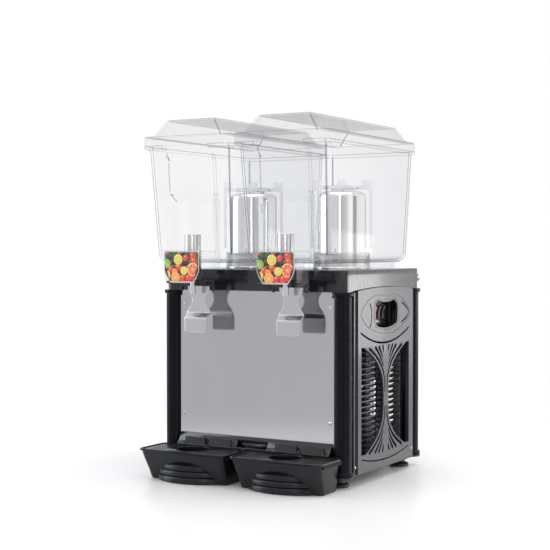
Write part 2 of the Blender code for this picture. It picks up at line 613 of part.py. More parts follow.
# ---------------------------------------------------------------- taps
def label_outline(middle, half, bottom_half, low, shoulder, high, radius):
    """Upright plate with round upper corners and sides drawn in towards the bottom."""
    right = arc((middle + half - radius, high - radius), radius, 90, 0, 3)
    right.append((middle + half, shoulder))
    right.append((middle + half - (half - bottom_half) * 0.35, shoulder - (shoulder - low) * 0.5))
    right += arc((middle + bottom_half - radius * 0.6, low + radius * 0.6), radius * 0.6, -10, -90, 2)
    return right + [(2 * middle - x, z) for x, z in right[::-1]]


def tap_cover(side, x):
    front = label_outline(x, COVER_X1, 0.0300, 0.3765, 0.4030, 0.4415, 0.006)
    cover = prisms(f"tap_cover_{side}", "Y", -0.2085, -0.2065, [front], CLEAR)
    cheek = [(-0.2070, 0.4400), (-0.2070, 0.3960), (-0.2045, 0.3760), (-0.1980, 0.3705), (-0.1860, 0.3680),
             (-0.1700, 0.3645), (-0.1548, 0.3640), (-0.1548, 0.4400)]
    for k, (a, b) in enumerate(((-COVER_X1, -COVER_X0), (COVER_X0, COVER_X1))):
        join(cover, prisms(f"cover_cheek_{side}_{k}", "X", x + a, x + b, [cheek]))
    cut(cover, disc(f"cover_pin_holes_{side}", 0.0030, x - 0.06, x + 0.06, (0, PIVOT_Y, PIVOT_Z), "X", 12))
    picture = label_outline(x, 0.0390, 0.0275, 0.3790, 0.4040, 0.4392, 0.005)
    prisms(f"label_plate_{side}", "Y", -0.2103, -0.2088, [picture], PICTURE)


def valve(side, x):
    sleeve = [(0, 0.4710), (SLEEVE_R - 0.001, 0.4710), (SLEEVE_R, 0.4700), (SLEEVE_R, 0.3965),
              (SLEEVE_BORE, 0.3965), (SLEEVE_BORE, 0.4685), (0, 0.4685)]
    body = lathe(f"valve_sleeve_{side}", sleeve, (x, TAP_Y, 0), STEEL, 24)
    cut(body, disc(f"sleeve_port_{side}", 0.0040, TAP_Y + 0.002, TAP_Y + 0.03, (x, 0, 0.4300), "Y", 12))
    plunger = [
        (0, 0.4460), (0.0040, 0.4460), (0.0040, 0.4400), (0.0114, 0.4400), (0.0114, 0.4000), (SPOUT_R, 0.3985),
        (SPOUT_R, 0.3865), (0.0102, 0.3865), (0.0102, 0.3825), (SPOUT_R, 0.3825), (SPOUT_R, SPOUT_Z),
        (0.0038, SPOUT_Z), (0.0038, 0.4260), (0, 0.4260),
    ]
    piece = lathe(f"valve_plunger_{side}", plunger, (x, TAP_Y, 0), STEEL, 16)
    cut(piece, disc(f"plunger_port_{side}", 0.0024, TAP_Y + 0.002, TAP_Y + 0.02, (x, 0, 0.4235), "Y", 8))
    spring(f"valve_spring_{side}", (x, TAP_Y, 0.4408), 0.0085, 0.0270, 4)


def spring(name, foot, radius, height, turns):
    wire, sides, steps = 0.0007, 4, turns * 10
    slope = math.atan2(height - 2 * wire, turns * 2 * math.pi * radius)
    rings = []
    for k in range(steps + 1):
        angle = 2 * math.pi * turns * k / steps
        out = Vector((math.cos(angle), math.sin(angle), 0))
        up = Vector((math.sin(angle) * math.sin(slope), -math.cos(angle) * math.sin(slope), math.cos(slope)))
        middle = Vector(foot) + out * radius + Vector((0, 0, wire + (height - 2 * wire) * k / steps))
        rings.append([
            middle + wire * (out * math.cos(2 * math.pi * j / sides) + up * math.sin(2 * math.pi * j / sides))
            for j in range(sides)
        ])
    stack(name, rings, GALVANISED)


def push_lever(side, x):
    centre = (x, PIVOT_Y, PIVOT_Z)
    bar = (x - 0.0375, x + 0.0375, -0.1580, -0.1520, 0.3720, 0.3840)
    yoke = boxes(f"lever_yoke_{side}", [bar], BLACK)
    for k, sign in enumerate((-1, 1)):
        a, b = sorted((x + sign * 0.0335, x + sign * 0.0375))
        join(yoke, boxes(f"yoke_arm_{side}_{k}", [(a, b, -0.1985, -0.1530, 0.3765, 0.3835)]))
        join(yoke, boxes(f"yoke_tail_{side}_{k}", [(a, b, -0.1575, -0.1525, 0.3625, 0.3730)]))
        a, b = sorted((x + sign * 0.0068, x + sign * 0.0116))
        join(yoke, boxes(f"yoke_tine_{side}_{k}", [(a, b, -0.1745, -0.1570, 0.3725, 0.3770)]))
        join(yoke, boxes(f"yoke_nub_{side}_{k}", [(a, b, -0.1730, -0.1690, 0.3765, 0.3815)]))
        a, b = sorted((sign * 0.0370, sign * 0.0432))
        join(yoke, disc(f"yoke_pin_{side}_{k}", 0.0025, x + a, x + b, (0, PIVOT_Y, PIVOT_Z), "X", 12))
    pivot(yoke, centre)

    sheet = [
        (-0.1517, 0.3830), (-0.1517, 0.3205), (-0.1630, 0.3105), (-0.1630, 0.2810),
        (-0.1615, 0.2810), (-0.1615, 0.3098), (-0.1502, 0.3198), (-0.1502, 0.3830),
    ]
    plate = prisms(f"push_lever_{side}", "X", x - 0.040, x + 0.040, [sheet], STEEL)
    half = [(0.0250, 0.3900), (0.0250, 0.3690), (0.0225, 0.3610), (0.0180, 0.3540), (0.0157, 0.3470),
            (0.0160, 0.3400), (0.0195, 0.3320), (0.0245, 0.3260), (0.0272, 0.3210), (0.0272, 0.3150),
            (0.0252, 0.3120), (0.0252, 0.2820), (0.0242, 0.2790)]
    outline = [(x + w, z) for w, z in half] + [(x - w, z) for w, z in half[::-1]]
    boolean(plate, prisms(f"lever_outline_{side}", "Y", -0.18, -0.14, [outline]), "INTERSECT")
    pivot(plate, centre)


# ---------------------------------------------------------------- drip trays
def drip_trays():
    for side, s in SIDES:
        x = s * TRAY_X
        shape = ((TRAY_Z0, 0.0860, -0.1910, 0.010), (0.0030, 0.0875, -0.1930, 0.011),
                 (TRAY_RIM - 0.002, 0.0945, -0.2182, 0.012))
        tray = stack(
            f"drip_tray_{side}",
            [rounded(z, x - half, x + half, y, TRAY_REAR, radius, 3) for z, half, y, radius in shape],
            TRAY_BLACK,
        )
        lip = [rounded(z, x - TRAY_HALF + r, x + TRAY_HALF - r, TRAY_FRONT + r, TRAY_REAR, 0.0125 - r, 3)
               for z, r in ((0.0570, 0.0005), (0.0580, 0), (TRAY_RIM - 0.0007, 0), (TRAY_RIM, 0.0007))]
        join(tray, stack(f"tray_lip_{side}", lip))
        tiers = ((0.0008, 0.0140, 0.1019, -0.2192), (0.0135, 0.0250, 0.1049, -0.2178), (0.0245, 0.0360, 0.0899, -0.2165))
        for k, (z0, z1, radius, front) in enumerate(tiers):
            half = math.degrees(math.asin(min(0.95, math.sqrt(2 * radius * (front * -1 - 0.188)) / radius)))
            curve = arc((x, front + radius), radius, 270 - half, 270 + half, 14)
            join(tray, prisms(f"tray_tier_{side}_{k}", "Z", z0, z1, [curve]))
        inside = ((0.0030, 0.0845, -0.1885, 0.009), (TRAY_RIM + 0.01, 0.0930, -0.2190, 0.010))
        cut(tray, stack(
            f"tray_cavity_{side}",
            [rounded(z, x - half, x + half, y, TRAY_REAR - 0.0025, radius, 3) for z, half, y, radius in inside],
        ))
        for k, sign in enumerate((-1, 1)):
            a, b = sorted((x + sign * 0.0890, x + sign * 0.0928))
            join(tray, boxes(f"tray_ledge_{side}_{k}", [(a, b, -0.2060, TRAY_REAR - 0.001, 0.0500, 0.0545)]))
        grid = [rounded(z, x - 0.0902, x + 0.0902, -0.2104, TRAY_REAR - 0.0032, 0.0105, 3) for z in (0.0548, 0.0590)]
        plate = stack(f"drip_grid_{side}", grid, TRAY_BLACK)
        collar = [(GRID_HOLE_R + 0.0035, 0.0605), (GRID_HOLE_R + 0.0035, 0.0480), (GRID_HOLE_R, 0.0480),
                  (GRID_HOLE_R, 0.0605)]
        join(plate, lathe(f"grid_collar_{side}", collar, (x, TAP_Y, 0), None, 28))
        cut(plate, disc(f"grid_hole_{side}", GRID_HOLE_R, 0.03, 0.07, (x, TAP_Y, 0), "Z", 28))
        slots = [
            (x + sign * 0.064 - 0.016, x + sign * 0.064 + 0.016, y, y + 0.0035, 0.05, 0.07)
            for sign in (-1, 1)
            for y in (-0.2010, -0.1890, -0.1770, -0.1650, -0.1530, -0.1410)
        ]
        cut(plate, boxes(f"grid_slots_{side}", slots))


# ---------------------------------------------------------------- rear fittings
def rear_fittings():
    knob = [(0, 0.2195), (0.0075, 0.2195), (0.0085, 0.2185), (0.0085, 0.2145), (0.0050, 0.2135), (0.0050, 0.2108),
            (0.0030, 0.2108), (0.0030, 0.2035), (0, 0.2035)]
    lathe("rear_knob", [(r, y - 0.2035) for r, y in knob], (KNOB_X, 0.2035, 0.384), BLACK, 16, "Y")
    gland = [(0.0075, 0.2200), (0.0095, 0.2185), (0.0115, 0.2160), (0.0115, 0.2078), (0.0080, 0.2078),
             (0.0080, 0.1985), (0.0040, 0.1985), (0.0040, 0.2200)]
    lathe("cord_gland", [(r, y) for r, y in gland], (-0.120, 0, 0.055), BLACK, 14, "Y")


base_pan()
posts()
feet()
flat_panels()
crown()
splash_deck()
side_panels()
switches()
compressor()
condenser()
fan()
cold_columns()
agitators()
tanks()
lids()
for name_of_side, sign_of_side in SIDES:
    tap_cover(name_of_side, sign_of_side * TANK_X)
    valve(name_of_side, sign_of_side * TANK_X)
    push_lever(name_of_side, sign_of_side * TANK_X)
drip_trays()
rear_fittings()
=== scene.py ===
"""Twin-tank drink dispenser: its detailed pieces, materials, light and camera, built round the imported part.

Metres, +Z up, the front towards -Y. Places come from the frame's nodes. Each piece rides on its body, and
stands for the plain node of the same name.
"""

import json
import math
import random

import bmesh
import bpy
from mathutils import Matrix, Vector

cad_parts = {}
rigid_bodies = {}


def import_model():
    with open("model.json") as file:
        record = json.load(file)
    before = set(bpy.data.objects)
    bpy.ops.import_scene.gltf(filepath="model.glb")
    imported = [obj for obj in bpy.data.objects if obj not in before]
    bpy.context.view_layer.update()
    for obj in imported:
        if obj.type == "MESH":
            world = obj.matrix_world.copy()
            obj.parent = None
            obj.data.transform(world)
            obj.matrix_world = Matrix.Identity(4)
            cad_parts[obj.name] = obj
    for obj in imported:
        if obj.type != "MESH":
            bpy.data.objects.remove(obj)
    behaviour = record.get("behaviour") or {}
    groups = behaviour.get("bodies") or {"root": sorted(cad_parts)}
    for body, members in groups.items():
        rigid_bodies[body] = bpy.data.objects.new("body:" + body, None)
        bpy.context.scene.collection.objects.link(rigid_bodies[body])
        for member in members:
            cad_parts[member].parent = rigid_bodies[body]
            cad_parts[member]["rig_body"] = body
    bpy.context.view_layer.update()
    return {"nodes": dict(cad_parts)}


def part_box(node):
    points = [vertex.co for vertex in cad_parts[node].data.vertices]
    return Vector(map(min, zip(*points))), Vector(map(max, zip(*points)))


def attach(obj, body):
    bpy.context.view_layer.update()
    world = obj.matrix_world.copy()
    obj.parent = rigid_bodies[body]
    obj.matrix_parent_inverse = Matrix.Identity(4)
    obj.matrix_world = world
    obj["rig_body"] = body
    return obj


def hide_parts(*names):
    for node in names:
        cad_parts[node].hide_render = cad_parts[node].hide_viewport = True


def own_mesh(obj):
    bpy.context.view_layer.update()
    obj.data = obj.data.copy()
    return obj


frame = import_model()

SIDES = {"left": -1, "right": 1}
CORNERS = [f"{end}_{side}" for side in SIDES for end in ("front", "rear")]
BOX = {name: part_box(name) for name in frame["nodes"]}
BODY = {name: obj["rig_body"] for name, obj in frame["nodes"].items()}


def middle(node):
    low, high = BOX[node]
    return (low + high) / 2


def heights(node):
    return BOX[node][0].z, BOX[node][1].z


# ---------------------------------------------------------------- materials
def wire(tree, node, inputs):
    """The node's inputs, each set to a value or linked to another node's output."""
    for key, value in inputs.items():
        if isinstance(value, bpy.types.NodeSocket):
            tree.links.new(value, node.inputs[key])
        else:
            node.inputs[key].default_value = value
    return node


def add(tree, kind, inputs, **settings):
    """A new node with its settings and inputs."""
    node = tree.nodes.new(f"ShaderNode{kind}")
    for key, value in settings.items():
        setattr(node, key, value)
    return wire(tree, node, inputs)


def maths(tree, operation, *values):
    return add(tree, "Math", dict(enumerate(values)), operation=operation).outputs["Value"]


def blend(tree, share, first, second):
    """A colour between two colours. The places are those of the Mix node's colour sockets."""
    return add(tree, "Mix", {0: share, 6: first, 7: second}, data_type="RGBA").outputs[2]


def mixed(tree, output, share, first, second):
    """Two shaders, mixed, as what the tree gives out."""
    mix = add(tree, "MixShader", {0: share, 1: first.outputs[0], 2: second.outputs[0]})
    tree.links.new(mix.outputs["Shader"], tree.nodes[output].inputs["Surface"])


def noise(tree, scale, stretch=(1, 1, 1), detail=3.0):
    """A noise value whose scale is in features per metre, stretched along an axis for grain and brushing."""
    where = add(tree, "TexCoord", {}).outputs["Object"]
    sized = add(tree, "Mapping", {"Vector": where, "Scale": stretch}).outputs["Vector"]
    return add(tree, "TexNoise", {"Vector": sized, "Scale": scale, "Detail": detail}).outputs["Fac"]


def spread(tree, value, low, high):
    """The noise value brought from its usual 0.3 to 0.7 into low to high."""
    limits = {"From Min": 0.3, "From Max": 0.7, "To Min": low, "To Max": high}
    return add(tree, "MapRange", {"Value": value, **limits}).outputs["Result"]


def rgba(colour, gain=1.0):
    return (*[min(1.0, part * gain) for part in colour], 1)


def material(name, colour):
    """A new material and its node tree."""
    skin = bpy.data.materials.new(name)
    skin.use_nodes = True
    skin.diffuse_color = rgba(colour)
    return skin, skin.node_tree


def finish_of(name, colour, roughness=0.4, metallic=0.0, tint=0.08, rough_by=0.05, scale=120, stretch=(1, 1, 1),
              bump=0.0, bump_scale=600, coat=0.0, ior=1.5, transmission=0.0, specular=0.5):
    """A Principled material with its colour and roughness varied by noise, and a fine surface."""
    skin, tree = material(name, colour)
    cloud = noise(tree, scale, stretch)
    inputs = {
        "Metallic": metallic, "Coat Weight": coat, "Coat Roughness": 0.05, "IOR": ior,
        "Transmission Weight": transmission, "Specular IOR Level": specular,
        "Base Color": blend(tree, cloud, rgba(colour, 1 - tint), rgba(colour, 1 + tint)),
        "Roughness": spread(tree, cloud, max(0.02, roughness - rough_by), roughness + rough_by),
    }
    if bump:
        height = noise(tree, bump_scale, stretch, 2.0)
        relief = add(tree, "Bump", {"Strength": bump, "Distance": BUMP_DEPTH, "Height": height})
        inputs["Normal"] = relief.outputs["Normal"]
    wire(tree, tree.nodes["Principled BSDF"], inputs)
    return skin


def clear_of(name, face_on, edge_on):
    """Thin clear plastic: sight goes straight through it, tinted more towards edge-on, and its surface mirrors."""
    skin, tree = material(name, face_on)
    tree.nodes.remove(tree.nodes["Principled BSDF"])
    facing = add(tree, "LayerWeight", {"Blend": 0.5}).outputs["Facing"]

    def rising(power, gain, base):
        return maths(tree, "MULTIPLY_ADD", maths(tree, "POWER", facing, power), gain, base)

    cloud = noise(tree, 40)
    even = blend(tree, cloud, rgba(face_on, 0.985), rgba(face_on))
    tint = blend(tree, rising(4.5, 1.0, 0.0), even, rgba(edge_on))
    through = add(tree, "BsdfTransparent", {"Color": tint})
    gloss = add(tree, "BsdfGlossy", {"Roughness": spread(tree, cloud, CLEAR_ROUGH * 0.8, CLEAR_ROUGH * 1.2)})
    mixed(tree, "Material Output", rising(6.0, 0.60, 0.012), through, gloss)
    return skin


BUMP_DEPTH, CLEAR_ROUGH = 0.0002, 0.05


GLOSS_BLACK = finish_of("gloss_black_plastic", (0.010, 0.010, 0.012), 0.16, bump=0.03, bump_scale=260, coat=0.3)
POST_BLACK = finish_of("post_black", (0.004, 0.005, 0.007), 0.17, tint=0.15, bump=0.02, bump_scale=260,
                       specular=0.13)
PANEL_BLACK = finish_of("satin_black_plastic", (0.036, 0.037, 0.043), 0.25, tint=0.05, rough_by=0.02, bump=0.004,
                        bump_scale=700, coat=0.2)
TRAY_BLACK = finish_of("tray_plastic", (0.006, 0.007, 0.009), 0.24, tint=0.15, rough_by=0.03, bump=0.004,
                       bump_scale=700, specular=0.30)
SOFT_BLACK = finish_of("matt_black_plastic", (0.018, 0.018, 0.019), 0.48, bump=0.15, bump_scale=1600)
MIRROR = finish_of("polished_stainless", (0.575, 0.565, 0.588), 0.10, 1.0, tint=0.03, rough_by=0.02, scale=9,
                   stretch=(1, 1, 0.3), bump=0.02, bump_scale=25)
SATIN = finish_of("satin_stainless", (0.63, 0.635, 0.655), 0.22, 1.0, tint=0.03, rough_by=0.03, scale=30,
                  bump=0.015, bump_scale=90)
COLUMN = finish_of("polished_column", (0.90, 0.89, 0.88), 0.08, 1.0, tint=0.03, rough_by=0.02, scale=12,
                   stretch=(1, 1, 0.3), bump=0.01, bump_scale=30)
TURNED = finish_of("turned_stainless", (0.66, 0.65, 0.64), 0.17, 1.0, tint=0.05, scale=60, stretch=(0.6, 0.6, 18),
                   bump=0.08, bump_scale=60)
CHROME = finish_of("chrome", (0.72, 0.72, 0.73), 0.06, 1.0, tint=0.03, rough_by=0.02)
GALVANISED = finish_of("galvanised_steel", (0.42, 0.43, 0.44), 0.42, 1.0, tint=0.20, rough_by=0.12, scale=160)
PAINTED = finish_of("painted_steel", (0.030, 0.030, 0.033), 0.42, tint=0.15, bump=0.25, bump_scale=900)
FIN = finish_of("fin_aluminium", (0.045, 0.055, 0.085), 0.42, 0.5, tint=0.25, scale=200, stretch=(1, 4, 1))
# Painted highlight: a lighter copy of the fin metal for the lit front edges of the fins.
FIN_EDGE_LIT = finish_of("fin_edge_painted_highlight", (0.20, 0.215, 0.25), 0.38, 0.9, tint=0.25, scale=200)
ALUMINIUM = finish_of("aluminium", (0.58, 0.59, 0.61), 0.34, 1.0, tint=0.10, scale=90)
TUBE = finish_of("bare_tube", (0.74, 0.72, 0.69), 0.22, 1.0, tint=0.12, scale=150)
FROSTED = finish_of("frosted_nylon", (0.97, 0.975, 0.98), 0.36, tint=0.01, transmission=0.80, ior=1.30)
SILICONE = finish_of("clear_silicone", (0.97, 0.965, 0.955), 0.30, tint=0.02, ior=1.20, transmission=0.90)
RED = finish_of("red_plastic", (0.72, 0.075, 0.085), 0.22, tint=0.10, bump=0.03, coat=0.3)
LABEL_GREY = finish_of("label_frame", (0.52, 0.53, 0.56), 0.30, tint=0.04, coat=0.3)
CLEAR = clear_of("clear_polycarbonate", (0.992, 0.993, 0.995), (0.52, 0.53, 0.56))
CLEAR_LID = clear_of("clear_lid", (0.978, 0.977, 0.976), (0.80, 0.80, 0.805))
# Painted shade: a darker clear tint for the dark lines that tight bends show.
CLEAR_BEND_SHADE = clear_of("clear_bend_painted_shade", (0.66, 0.67, 0.70), (0.46, 0.47, 0.50))


# ---------------------------------------------------------------- mesh helpers
def shade(obj, degrees=32):
    """Smooth shading, except across edges sharper than this."""
    obj.data.shade_smooth()
    obj.data.set_sharp_from_angle(angle=math.radians(degrees))
    return obj


def placed(name, data):
    obj = bpy.data.objects.new(name, data)
    bpy.context.scene.collection.objects.link(obj)
    return obj


def evaluated(obj):
    graph = bpy.context.evaluated_depsgraph_get()
    return bpy.data.meshes.new_from_object(obj.evaluated_get(graph))


def solid(name, bm, skins):
    """The faces as an object with these materials."""
    mesh = bpy.data.meshes.new(name)
    bm.to_mesh(mesh)
    bm.free()
    for skin in skins:
        mesh.materials.append(skin)
    return shade(placed(name, mesh))


def made(name, bm, skin):
    """The same, after meeting points are merged and every face is turned outwards."""
    bmesh.ops.remove_doubles(bm, verts=bm.verts, dist=2e-6)
    bmesh.ops.recalc_face_normals(bm, faces=bm.faces)
    return solid(name, bm, [skin])


def settle(obj):
    """The object's modifiers made part of its mesh."""
    mesh = evaluated(obj)
    obj.modifiers.clear()
    obj.data = mesh
    return obj


def even_out(obj):
    """Normals that follow the large faces, so that flat faces look flat beside their cuts and rounded edges."""
    old = obj.data.attributes.get("custom_normal")
    if old:
        obj.data.attributes.remove(old)
    weigh = obj.modifiers.new("normals", "WEIGHTED_NORMAL")
    weigh.keep_sharp = True
    return settle(obj)


def soften(obj, width, segments=2, degrees=30):
    """Edges sharper than this rounded to the width, as a mould or a press leaves them."""
    bevel = obj.modifiers.new("edges", "BEVEL")
    bevel.width = width
    bevel.segments = segments
    bevel.limit_method = "ANGLE"
    bevel.angle_limit = math.radians(degrees)
    bevel.miter_outer = "MITER_ARC"
    even_out(obj)
    return shade(obj, 40)


def combined(obj, others, operation):
    """A Boolean of obj with each of the others, which are then removed."""
    for other in others:
        step = obj.modifiers.new(other.name, "BOOLEAN")
        step.operation = operation
        step.solver = "EXACT"
        step.object = other
        settle(obj)
        bpy.data.objects.remove(other, do_unlink=True)
    return shade(obj)


def cut(obj, *others):
    return combined(obj, others, "DIFFERENCE")


def join(obj, *others):
    return combined(obj, others, "UNION")


def together(name, objs):
    """Separate solids as one piece, each keeping its own materials."""
    bm = bmesh.new()
    skins = []
    for obj in objs:
        start = len(bm.faces)
        bm.from_mesh(obj.data)
        bm.faces.ensure_lookup_table()
        places = []
        for skin in obj.data.materials:
            if skin not in skins:
                skins.append(skin)
            places.append(skins.index(skin))
        for face in bm.faces[start:]:
            face.material_index = places[face.material_index]
    for obj in objs:
        bpy.data.objects.remove(obj, do_unlink=True)
    return solid(name, bm, skins)


def stands_for(obj, node):
    """obj takes the place of the CAD node and moves with its body."""
    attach(obj, BODY[node])
    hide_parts(node)
    return obj


def stack(name, rings, skin, closed=False):
    """Rings with the same number of points, joined in order; the ends are capped, or joined if closed."""
    bm = bmesh.new()
    loops = [[bm.verts.new(point) for point in ring] for ring in rings]
    count = len(loops[0])
    pairs = list(zip(loops, loops[1:]))
    if closed:
        pairs.append((loops[-1], loops[0]))
    for low, high in pairs:
        for i in range(count):
            j = (i + 1) % count
            bm.faces.new((low[i], low[j], high[j], high[i]))
    if not closed:
        bm.faces.new(loops[0])
        bm.faces.new(loops[-1])
    return made(name, bm, skin)


def boxes(name, extents, skin):
    bm = bmesh.new()
    for x0, x1, y0, y1, z0, z1 in extents:
        size = Matrix.Diagonal((x1 - x0, y1 - y0, z1 - z0, 1))
        centre = Matrix.Translation(((x0 + x1) / 2, (y0 + y1) / 2, (z0 + z1) / 2))
        bmesh.ops.create_cube(bm, size=1.0, matrix=centre @ size)
    return made(name, bm, skin)


PLANES = {
    "X": Matrix(((0, 0, 1, 0), (1, 0, 0, 0), (0, 1, 0, 0), (0, 0, 0, 1))),
    "Y": Matrix(((1, 0, 0, 0), (0, 0, -1, 0), (0, 1, 0, 0), (0, 0, 0, 1))),
    "Z": Matrix(),
}


def spline(curve, points):
    line = curve.splines.new("POLY")
    line.points.add(len(points) - 1)
    for point, at in zip(line.points, points):
        point.co = (*at, 1)
    return line


def from_curve(name, curve, place, skin):
    """The curve's surface as a mesh object, moved to its place."""
    obj = placed(name, curve)
    mesh = evaluated(obj)
    bpy.data.objects.remove(obj, do_unlink=True)
    mesh.transform(place)
    bm = bmesh.new()
    bm.from_mesh(mesh)
    return made(name, bm, skin)


def plate(name, axis, low, high, outlines, skin, edge=0.0004, steps=2):
    """A flat sheet across an axis, from a filled curve: inner outlines are holes, and every edge is rounded."""
    curve = bpy.data.curves.new(name, "CURVE")
    curve.dimensions = "2D"
    curve.fill_mode = "BOTH"
    for outline in outlines:
        spline(curve, [(a, b, 0) for a, b in outline]).use_cyclic_u = True
    curve.extrude = (high - low) / 2 - edge
    curve.bevel_depth = edge
    curve.bevel_resolution = steps - 1
    curve.offset = -edge
    at = (low + high) / 2
    shift = {"X": (at, 0, 0), "Y": (0, at, 0), "Z": (0, 0, at)}[axis]
    return even_out(from_curve(name, curve, Matrix.Translation(shift) @ PLANES[axis], skin))


def fillet(points, radius, count=3):
    """The (a, b) line with its corners rounded."""
    out = [points[0]]
    for before, at, after in zip(points, points[1:], points[2:]):
        p, q, r = Vector(before), Vector(at), Vector(after)
        back, on = p - q, r - q
        reach = min(radius, back.length * 0.45, on.length * 0.45)
        if reach < 1e-5 or back.angle(on) > math.radians(165):
            out.append(tuple(q))
            continue
        first, last = q + back.normalized() * reach, q + on.normalized() * reach
        for k in range(count + 1):
            t = k / count
            point = first * (1 - t) ** 2 + q * 2 * t * (1 - t) + last * t ** 2
            out.append(tuple(point))
    return out + [points[-1]]


def turned(name, profile, centre, skin, axis="Z", steps=72, radius=0.0006, ring=False):
    """A solid of revolution from a (radius, height) profile that runs down its outer side. A ring is closed."""
    if ring:
        profile = profile + [profile[0], profile[1]]
        line = fillet(profile, radius)[1:-1]
    else:
        line = fillet(profile, radius)
    place = {"Z": lambda c, s, h: (c, s, h), "X": lambda c, s, h: (h, c, s), "Y": lambda c, s, h: (s, h, c)}[axis]
    rings = []
    for r, h in line:
        turn = [2 * math.pi * k / steps for k in range(steps)]
        rings.append([Vector(centre) + Vector(place(r * math.cos(a), r * math.sin(a), h)) for a in turn])
    return stack(name, rings, skin, closed=ring)


def turned_for(node, tail, profile, skin, on=None, **how):
    """A piece turned on the upright centre line of the node, or of another one, that stands for the node."""
    centre = middle(on or node)
    return stands_for(turned(f"{node}_{tail}", profile, (centre.x, centre.y, 0), skin, **how), node)


def refined(node, skin, width=0.0004, segments=2):
    """A piece with the CAD node's own shape, its flat faces whole and its edges rounded, that stands for it."""
    bm = bmesh.new()
    bm.from_mesh(frame["nodes"][node].data)
    bmesh.ops.remove_doubles(bm, verts=bm.verts, dist=1e-6)
    bmesh.ops.dissolve_limit(bm, angle_limit=math.radians(1.0), verts=bm.verts, edges=bm.edges)
    return stands_for(soften(made(f"{node}_body", bm, skin), width, segments), node)


def rectangle(a0, a1, b0, b1):
    return [(a0, b0), (a1, b0), (a1, b1), (a0, b1)]


def heading(p, q):
    """The direction from one flat point to another."""
    return Vector((q[0] - p[0], q[1] - p[1])).normalized()


def arc(centre, radius, start, end, count):
    steps = [math.radians(start + (end - start) * k / count) for k in range(count + 1)]
    return [(centre[0] + radius * math.cos(a), centre[1] + radius * math.sin(a)) for a in steps]


def rounded_flat(x0, x1, y0, y1, radius, corner=8, between=0):
    """A rectangle with round corners as (x, y) points, with extra points between along each side."""
    centres = ((x1 - radius, y1 - radius, 0), (x0 + radius, y1 - radius, 90),
               (x0 + radius, y0 + radius, 180), (x1 - radius, y0 + radius, 270))
    line = []
    for x, y, start in centres:
        line += arc((x, y), radius, start, start + 90, corner)
    if between:
        filled = []
        for i, (a, b) in enumerate(line):
            filled.append((a, b))
            c, d = line[(i + 1) % len(line)]
            if math.hypot(c - a, d - b) > 0.03:
                filled += [(a + (c - a) * k / between, b + (d - b) * k / between) for k in range(1, between)]
        line = filled
    return line


def rounded(z, x0, x1, y0, y1, radius):
    return [(x, y, z) for x, y in rounded_flat(x0, x1, y0, y1, radius)]


def ribbon(points, width, far=None, *, cap=4):
    """The outline of a line with round ends, whose width runs evenly from width to far."""
    left, right, ends, halves = [], [], [], []
    for i, (a, b) in enumerate(points):
        half = (width + ((far or width) - width) * i / (len(points) - 1)) / 2
        along = heading(points[max(i - 1, 0)], points[min(i + 1, len(points) - 1)])
        left.append((a - along.y * half, b + along.x * half))
        right.append((a + along.y * half, b - along.x * half))
        ends.append(math.degrees(math.atan2(along.y, along.x)))
        halves.append(half)
    tip = arc(points[-1], halves[-1], ends[-1] + 90, ends[-1] - 90, cap)[1:-1]
    tail = arc(points[0], halves[0], ends[0] - 90, ends[0] - 270, cap)[1:-1]
    return left + tip + right[::-1] + tail


def smooth_line(points, count=8):
    """A Catmull-Rom curve through the points."""
    out = []
    ends = [points[0]] + list(points) + [points[-1]]
    for a, b, c, d in zip(ends, ends[1:], ends[2:], ends[3:]):
        a, b, c, d = map(Vector, (a, b, c, d))
        for k in range(count):
            t = k / count
            at = 0.5 * ((2 * b) + (c - a) * t + (2 * a - 5 * b + 4 * c - d) * t * t
                        + (3 * b - a - 3 * c + d) * t ** 3)
            out.append(tuple(at))
    return out + [tuple(points[-1])]


def tube(name, points, radius, skin, sides=10):
    """A round wire or pipe along a line, with closed ends."""
    curve = bpy.data.curves.new(name, "CURVE")
    curve.dimensions = "3D"
    curve.bevel_depth = radius
    curve.bevel_resolution = sides // 4
    curve.use_fill_caps = True
    spline(curve, points)
    return from_curve(name, curve, Matrix(), skin)


# ---------------------------------------------------------------- cabinet
def posts():
    for corner in CORNERS:
        node = f"post_{corner}"
        (x0, _, low), (x1, _, high) = BOX[node]
        collar = (x1 - x0) / 2
        shaft = collar - 0.0035
        turned_for(node, "tube", [
            (0, high), (collar, high), (collar, high - 0.0065), (shaft, high - 0.0085), (shaft, low + 0.0090),
            (collar, low + 0.0070), (collar, low), (0, low),
        ], POST_BLACK, radius=0.0010)


def feet():
    for corner in CORNERS:
        node = f"foot_{corner}"
        at = (*middle(node).xy, 0)
        pad = turned(f"{node}_pad", [
            (0, 0.0187), (0.0125, 0.0187), (0.0125, 0.0085), (0.0185, 0.0060), (0.0200, 0.0045), (0.0200, 0.0),
            (0, 0.0),
        ], at, SOFT_BLACK, radius=0.0012)
        threads = []
        for z in [0.0340 - 0.0016 * k for k in range(9)]:
            threads += [(0.0040, z), (0.0034, z - 0.0008)]
        stem = turned(f"{node}_stem", [(0, 0.0345)] + threads + [(0.0040, 0.0180), (0, 0.0180)], at, GALVANISED,
                      steps=32, radius=0.0001)
        stands_for(together(f"{node}_levelling_foot", [pad, stem]), node)


def screw_head(name, point, axis, radius=0.0036):
    """A pan head with a cross recess, its flat side on the point, facing outwards along +axis or -axis."""
    sign, height = -1 if axis.startswith("-") else 1, 0.0016
    profile = [(0, height), (radius * 0.55, height * 0.95), (radius * 0.9, height * 0.55), (radius, 0), (0, 0)]
    head = turned(name, profile, (0, 0, 0), CHROME, steps=32, radius=0.0003)
    arm, slot = radius * 0.62, 0.0004
    for a, b in ((arm, slot), (slot, arm)):
        cut(head, boxes("cross", [(-a, a, -b, b, height * 0.5, height * 2)], CHROME))
    normal = Vector([sign if axis[-1] == letter else 0 for letter in "XYZ"])
    head.data.transform(Matrix.Translation(point) @ normal.to_track_quat("Z", "Y").to_matrix().to_4x4())
    return head


